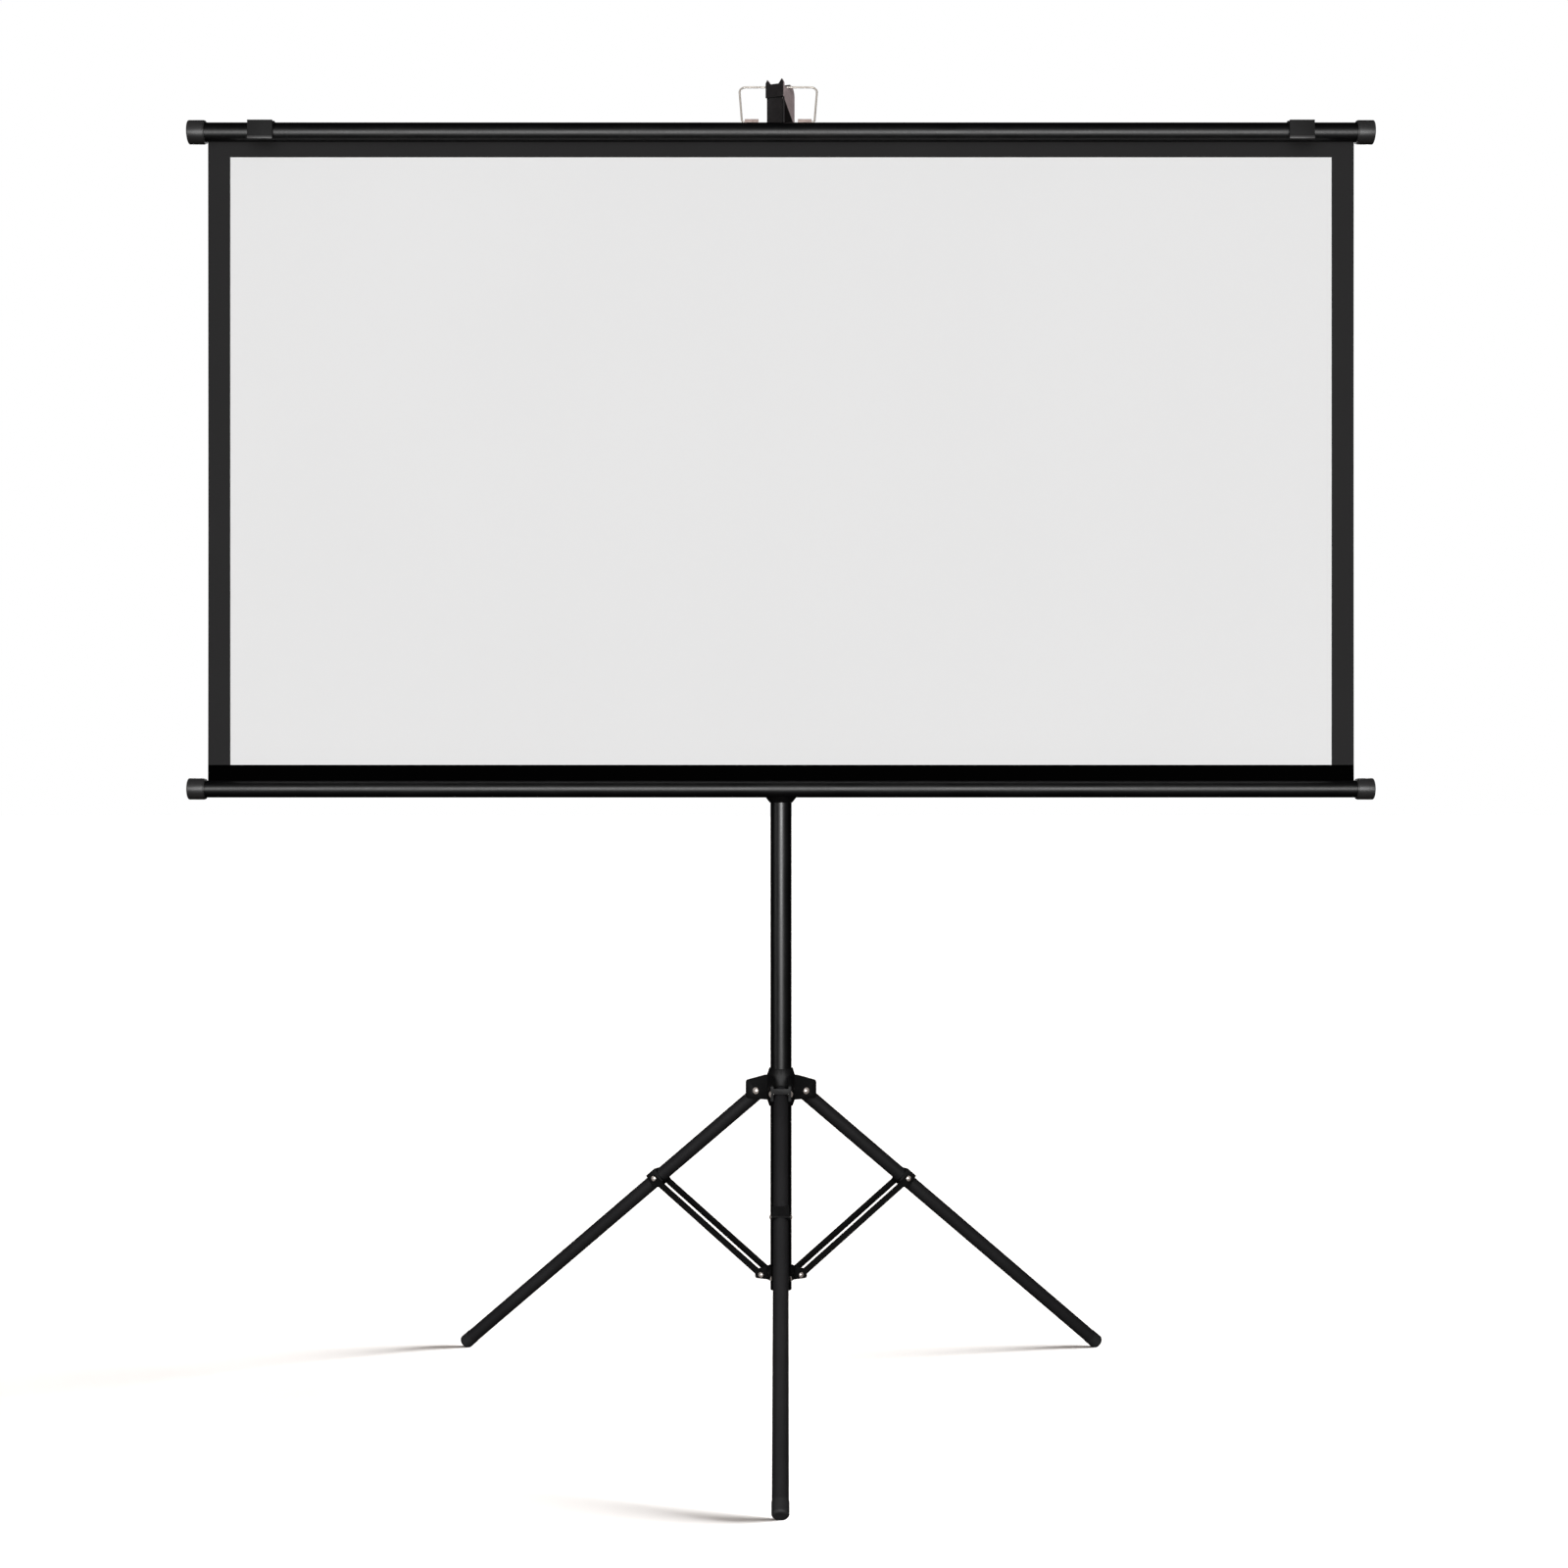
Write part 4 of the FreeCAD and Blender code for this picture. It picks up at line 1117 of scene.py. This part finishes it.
@dataclass
class TubeClip(SoftenedMoulding):
    """A clip on the top bar, with a painted highlight on its lip."""

    lip_proud: float = 0.4 * MM

    def make(self) -> None:
        """Dress the clip and paint a highlight on the lip that stands proud of its plate.
        """
        super().make()
        mesh = bpy.data.objects[self.prefix + self.node].data
        mesh.materials.append(self.palette.material(CLIP_LIP_HIGHLIGHT))
        low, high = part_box(self.node)
        top_front = min(v.co.y for v in mesh.vertices if v.co.z > (low.z + high.z) / 2)
        # The lip's faces get the lighter grey: a painted highlight
        for face in mesh.polygons:
            face.material_index = int(face.center.y < top_front - self.lip_proud)


@dataclass
class HookCasting(SoftenedMoulding):
    """The hook: black, with painted light on one side and its top above a slanted line, and
    painted shade on that side below it.
    """

    turn: float = math.radians(-23)
    line_front: float = 24.5 * MM
    line_z: float = 1.8925
    line_fall: float = 0.81
    front_margin: float = 2.0 * MM
    side_facing: float = 0.6
    top_facing: float = 0.3

    def make(self) -> None:
        """Dress the casting and paint light on its side and top."""
        super().make()
        name = self.prefix + self.node
        model = Model(bpy.data.objects[name], name)
        low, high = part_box("extension_tube")
        axis = (low + high) / 2
        side = Vector((math.cos(self.turn), math.sin(self.turn), 0.0))
        back = Vector((-math.sin(self.turn), math.cos(self.turn), 0.0))
        point = Vector((axis.x, axis.y, self.line_z)) - back * self.line_front
        normal = (back * self.line_fall + Vector((0, 0, 1))).normalized()
        model.edit()
        bpy.ops.mesh.select_all(action="SELECT")
        bpy.ops.mesh.bisect(plane_co=point, plane_no=normal)
        model.leave()
        model.piece.data.materials.append(self.palette.material(HOOK_PAINTED_LIGHT))
        # Side and top faces above the line get painted light; below it the side keeps the
        # black as painted shade
        for face in model.piece.data.polygons:
            above = (face.center - point).dot(normal) > 0
            lit_side = face.normal.dot(side) > self.side_facing
            behind = (face.center - point).dot(back) > self.front_margin
            lit_top = behind and face.normal.z > self.top_facing
            face.material_index = int(above and (lit_side or lit_top))


@dataclass
class Studio:
    """The pale floor, the soft lights and the camera of the photograph.

    Pieces that lie wholly above head_z also take the light from behind. The room's
    strength and tint are what it gives to the object, and the camera sees it white.
    """

    screen_distance: float = 3.371
    eye_height: float = 0.8935
    eye_x: float = 0.0044
    focal_pixels: float = 2351.0
    photo_pixels: float = 1600.0
    sensor: float = 36.0
    far_clip: float = 500.0
    floor_size: float = 120.0
    paper: str = "#FBFAF9"
    paper_roughness: float = 0.95
    head_z: float = 0.8
    room_strength: float = 0.31
    room_tint: Colour = (1.0, 0.9, 0.84, 1.0)
    seen_white: Colour = (1.0, 1.0, 1.0, 1.0)

    def make(self, pole: Vector) -> None:
        """Set up the stage about the pole's axis.

        Args:
            pole: A point on the pole's axis.
        """
        bpy.context.scene.view_settings.view_transform = "Standard"
        self.camera(pole)
        ground = self.floor()
        self.sky()
        floor_only = self.group("floor_only", [ground])
        screen_only = self.group(
            "screen_only",
            [o for o in bpy.context.scene.objects if o.type == "MESH" and o != ground],
        )
        # Low on the right: it whitens the floor and draws a streak to the left of each foot
        self.far_light(
            "key_low_right", way=(1.0, 0.03, 0.14), spread=24, strength=23.0, lit=floor_only
        )
        # The bank of soft lights round the camera, and a weak one behind
        self.far_light(
            "bank_front", way=(-0.25, -1.0, 0.35), spread=70, strength=2.45, lit=screen_only
        )
        self.far_light(
            "fill_behind", way=(0.3, 1.0, 0.5), spread=90, strength=1.2, lit=screen_only
        )
        # Long and low in front: the even highlight along the bars
        upright = [bpy.data.objects["main_tube"]]
        bars = self.group("bars", [o for o in screen_only.objects if o not in upright])
        self.softbox(
            "bank_gloss",
            place=(0.0, -3.3, 1.1),
            target=(0.0, 0.1, 0.9),
            size=(4.6, 1.6),
            power=170.0,
            lit=bars,
        )
        # Upright in the middle: the highlight down the pole. The one on the left shows
        # dimly down its left side
        pole_only = self.group("pole_only", upright)
        self.softbox(
            "strip_gloss",
            place=(0.15, -2.9, 1.3),
            target=(0.0, 0.1, 0.8),
            size=(0.55, 0.9),
            power=135.0,
            lit=pole_only,
        )
        self.softbox(
            "side_gloss",
            place=(-2.6, -1.4, 0.7),
            target=(0.0, 0.1, 0.7),
            size=(0.8, 1.6),
            power=7.0,
            lit=pole_only,
        )
        # High behind: the bars and the extension as the other views show them. The cloth
        # keeps it off their front
        head = self.group(
            "head", [o for o in screen_only.objects if self.lowest(o) > self.head_z]
        )
        self.softbox(
            "back_gloss",
            place=(0.0, 3.5, 1.9),
            target=(0.0, 0.1, 1.3),
            size=(3.6, 0.6),
            power=70.0,
            lit=head,
        )

    def lowest(self, piece: bpy.types.Object) -> float:
        """How high a piece's lowest point is."""
        return min((piece.matrix_world @ Vector(corner)).z for corner in piece.bound_box)

    def camera(self, pole: Vector) -> None:
        """Place the level camera in front of the pole.

        Args:
            pole: A point on the pole's axis.
        """
        data = bpy.data.cameras.new("photo_camera")
        data.sensor_fit = "AUTO"
        data.sensor_width = self.sensor
        data.lens = self.focal_pixels * self.sensor / self.photo_pixels
        data.clip_end = self.far_clip
        eye = bpy.data.objects.new("photo_camera", data)
        eye.location = (self.eye_x, pole.y - self.screen_distance, self.eye_height)
        eye.rotation_euler = (UPRIGHT, 0.0, 0.0)
        bpy.context.scene.collection.objects.link(eye)
        bpy.context.scene.camera = eye

    def group(
        self, name: str, members: Sequence[bpy.types.Object]
    ) -> bpy.types.Collection:
        """Gather the objects that a lamp lights.

        Args:
            name: The group's name.
            members: Its objects.

        Returns:
            The group.
        """
        gathered = bpy.data.collections.new(name)
        for member in members:
            gathered.objects.link(member)
        return gathered

    def far_light(
        self,
        name: str,
        way: tuple[float, float, float],
        spread: float,
        strength: float,
        lit: bpy.types.Collection,
    ) -> None:
        """Add a large, distant lamp that lights matt surfaces evenly.

        Args:
            name: Its name.
            way: The direction from the object to the lamp.
            spread: The angle that it fills, in degrees.
            strength: Its strength.
            lit: The objects that it lights.
        """
        data = bpy.data.lights.new(name, "SUN")
        data.energy = strength
        data.angle = math.radians(spread)
        lamp = bpy.data.objects.new(name, data)
        lamp.rotation_euler = (-Vector(way)).to_track_quat("-Z", "Y").to_euler()
        lamp.visible_glossy = False
        lamp.light_linking.receiver_collection = lit
        bpy.context.scene.collection.objects.link(lamp)

    def floor(self) -> bpy.types.Object:
        """Lay the pale floor.

        Returns:
            The floor, which takes light but gives none back to the screen.
        """
        deselect_all()
        bpy.ops.mesh.primitive_plane_add(size=self.floor_size, location=(0, 0, 0))
        ground = bpy.context.object
        ground.name = "studio_floor"
        material = bpy.data.materials.new("studio_paper")
        material.use_nodes = True
        shader = material.node_tree.nodes["Principled BSDF"]
        shader.inputs["Base Color"].default_value = to_linear(self.paper)
        shader.inputs["Roughness"].default_value = self.paper_roughness
        shader.inputs["Specular IOR Level"].default_value = 0.0
        ground.data.materials.append(material)
        ground.visible_glossy = False
        ground.visible_diffuse = False
        return ground

    def sky(self) -> None:
        """Light the scene dimly and evenly, white where the camera sees past it."""
        world = bpy.data.worlds.new("studio_room")
        bpy.context.scene.world = world
        world.use_nodes = True
        tree = world.node_tree
        tree.nodes.clear()
        world.cycles_visibility.glossy = False
        seen = add_node(tree, "ShaderNodeLightPath").outputs["Is Camera Ray"]
        strength = add_node(
            tree,
            "ShaderNodeMapRange",
            inputs={"Value": seen, "To Min": self.room_strength, "To Max": 1.0},
        )
        tint = add_node(
            tree,
            "ShaderNodeMix",
            settings={"data_type": "RGBA"},
            inputs={"Factor": seen, 6: self.room_tint, 7: self.seen_white},
        )
        background = add_node(
            tree,
            "ShaderNodeBackground",
            inputs={"Color": tint.outputs[2], "Strength": strength.outputs["Result"]},
        )
        add_node(
            tree,
            "ShaderNodeOutputWorld",
            inputs={"Surface": background.outputs["Background"]},
        )

    def softbox(
        self,
        name: str,
        place: tuple[float, float, float],
        target: tuple[float, float, float],
        size: tuple[float, float],
        power: float,
        lit: bpy.types.Collection,
    ) -> None:
        """Hang a rectangular softbox that only shows in gloss.

        Args:
            name: Its name.
            place: Its middle.
            target: The point that it faces.
            size: Its width and height.
            power: Its power in watts.
            lit: The objects that it lights.
        """
        data = bpy.data.lights.new(name, "AREA")
        data.shape = "RECTANGLE"
        data.size, data.size_y = size
        data.energy = power
        lamp = bpy.data.objects.new(name, data)
        lamp.location = place
        way = Vector(target) - Vector(place)
        lamp.rotation_euler = way.to_track_quat("-Z", "Y").to_euler()
        lamp.visible_diffuse = False
        lamp.visible_camera = False
        lamp.light_linking.receiver_collection = lit
        bpy.context.scene.collection.objects.link(lamp)


@dataclass
class Stand:
    """Pole, hub, collar, knobs, legs, struts and feet."""

    palette: Palette
    legs: tuple[str, ...] = ("front", "right", "left")

    def make(self) -> None:
        """Dress every piece of the stand."""
        self.palette.paint_nodes(
            {
                POWDER_COAT: ("main_tube",),
                RIVET_NICKEL: ("collar_rivets", "hub_rivets"),
                ZINC_STEEL: ("collar_screw",),
                NATURAL_NYLON: ("guide_bush",),
                MOULDED_NYLON: ("tube_plug",),
            }
        )
        for node, body in (
            ("leg_hub", "hub"),
            ("lower_collar", "stand"),
            ("lock_collar", "stand"),
            ("hub_knob", "hub_lock"),
            ("extension_knob", "extension_lock"),
        ):
            self.moulding(node, body)
        for name in self.legs:
            self.leg(name)

    def moulding(self, node: str, body: str) -> None:
        """Dress a black nylon moulding.

        Args:
            node: Its node.
            body: The body that carries it.
        """
        SoftenedMoulding(self.palette, node, body, "black_moulding", MOULDED_NYLON).make()

    def leg(self, name: str) -> None:
        """Dress one leg and its strut.

        Args:
            name: The leg's word in node names.
        """
        self.palette.paint_nodes(
            {
                LEG_COAT: ("leg_tube_" + name,),
                MOULDED_NYLON: ("leg_plug_" + name,),
                STRIP_COAT: ("strut_" + name,),
                RIVET_NICKEL: ("strut_rivets_" + name,),
                FOOT_RUBBER: ("foot_" + name,),
            }
        )
        self.moulding("saddle_" + name, "leg_" + name)


@dataclass
class ScreenHead:
    """Bracket, case, roller, top bar, clips, bail, extension and hook.

    The travel is how far the top bar comes down.
    """

    palette: Palette
    travel: float

    def make(self) -> None:
        """Dress every piece that carries the screen."""
        self.palette.paint_nodes(
            {
                POWDER_COAT: ("extension_tube", "case_tube", "case_cradle", "top_tube"),
                NATURAL_NYLON: (
                    "extension_glide",
                    "bracket_bushes",
                    "roller_plug_left",
                    "roller_plug_right",
                ),
                ZINC_STEEL: (
                    "pivot_stud",
                    "spring_rod",
                    "roller_spring",
                    "roller_tube",
                    "hem_rod",
                ),
                RIVET_NICKEL: ("hook_rivet", "cradle_rivets"),
                BACKING: ("fabric_wraps",),
                BAIL_WIRE: ("bail",),
            }
        )
        for node, body, slot, finish in (
            ("case_bracket", "head", "black_moulding", MOULDED_NYLON),
            ("bracket_knob", "bracket_lock", "black_moulding", MOULDED_NYLON),
            ("bail_lugs", "top_bar", "lug_metal", LUG_STEEL),
        ):
            SoftenedMoulding(self.palette, node, body, slot, finish).make()
        HookCasting(self.palette, "hook", "extension", "hook_metal", HOOK_CASTING).make()
        for side in Side:
            self.ends(side)
        ScreenCloth(self.palette, self.travel).make()

    def ends(self, side: Side) -> None:
        """Model the caps and the clip at one end.

        Args:
            side: The end.
        """
        for bar, tube, body in (
            ("case_cap_", "case_tube", "case"),
            ("top_cap_", "top_tube", "top_bar"),
        ):
            low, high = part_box(tube)
            node = bar + side.word
            cap = EndCap(node, side, (high.z - low.z) / 2).make()
            self.palette.paint(cap, ABS_PLASTIC)
            install(cap, body, node)
        node = "clip_" + side.word
        TubeClip(self.palette, node, node, "black_moulding", CLIP_PLASTIC).make()


def travel_of(frame: dict[str, Any], name: str) -> float:
    """Find how far a sliding joint goes from rest.

    Args:
        frame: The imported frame.
        name: The joint's name.

    Returns:
        The larger of its two limits.
    """
    limits = next(joint["range_m"] for joint in frame["joints"] if joint["name"] == name)
    return max(abs(limit) for limit in limits)


def main() -> None:
    """Build the dressed model and the studio."""
    logging.basicConfig(level=logging.INFO, format="%(message)s")
    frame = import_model()
    palette = Palette()
    Stand(palette).make()
    ScreenHead(palette, travel_of(frame, "extension_slide")).make()
    pole_low, pole_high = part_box("main_tube")
    Studio().make((pole_low + pole_high) / 2)
    deselect_all()


if __name__ == "__main__":
    main()
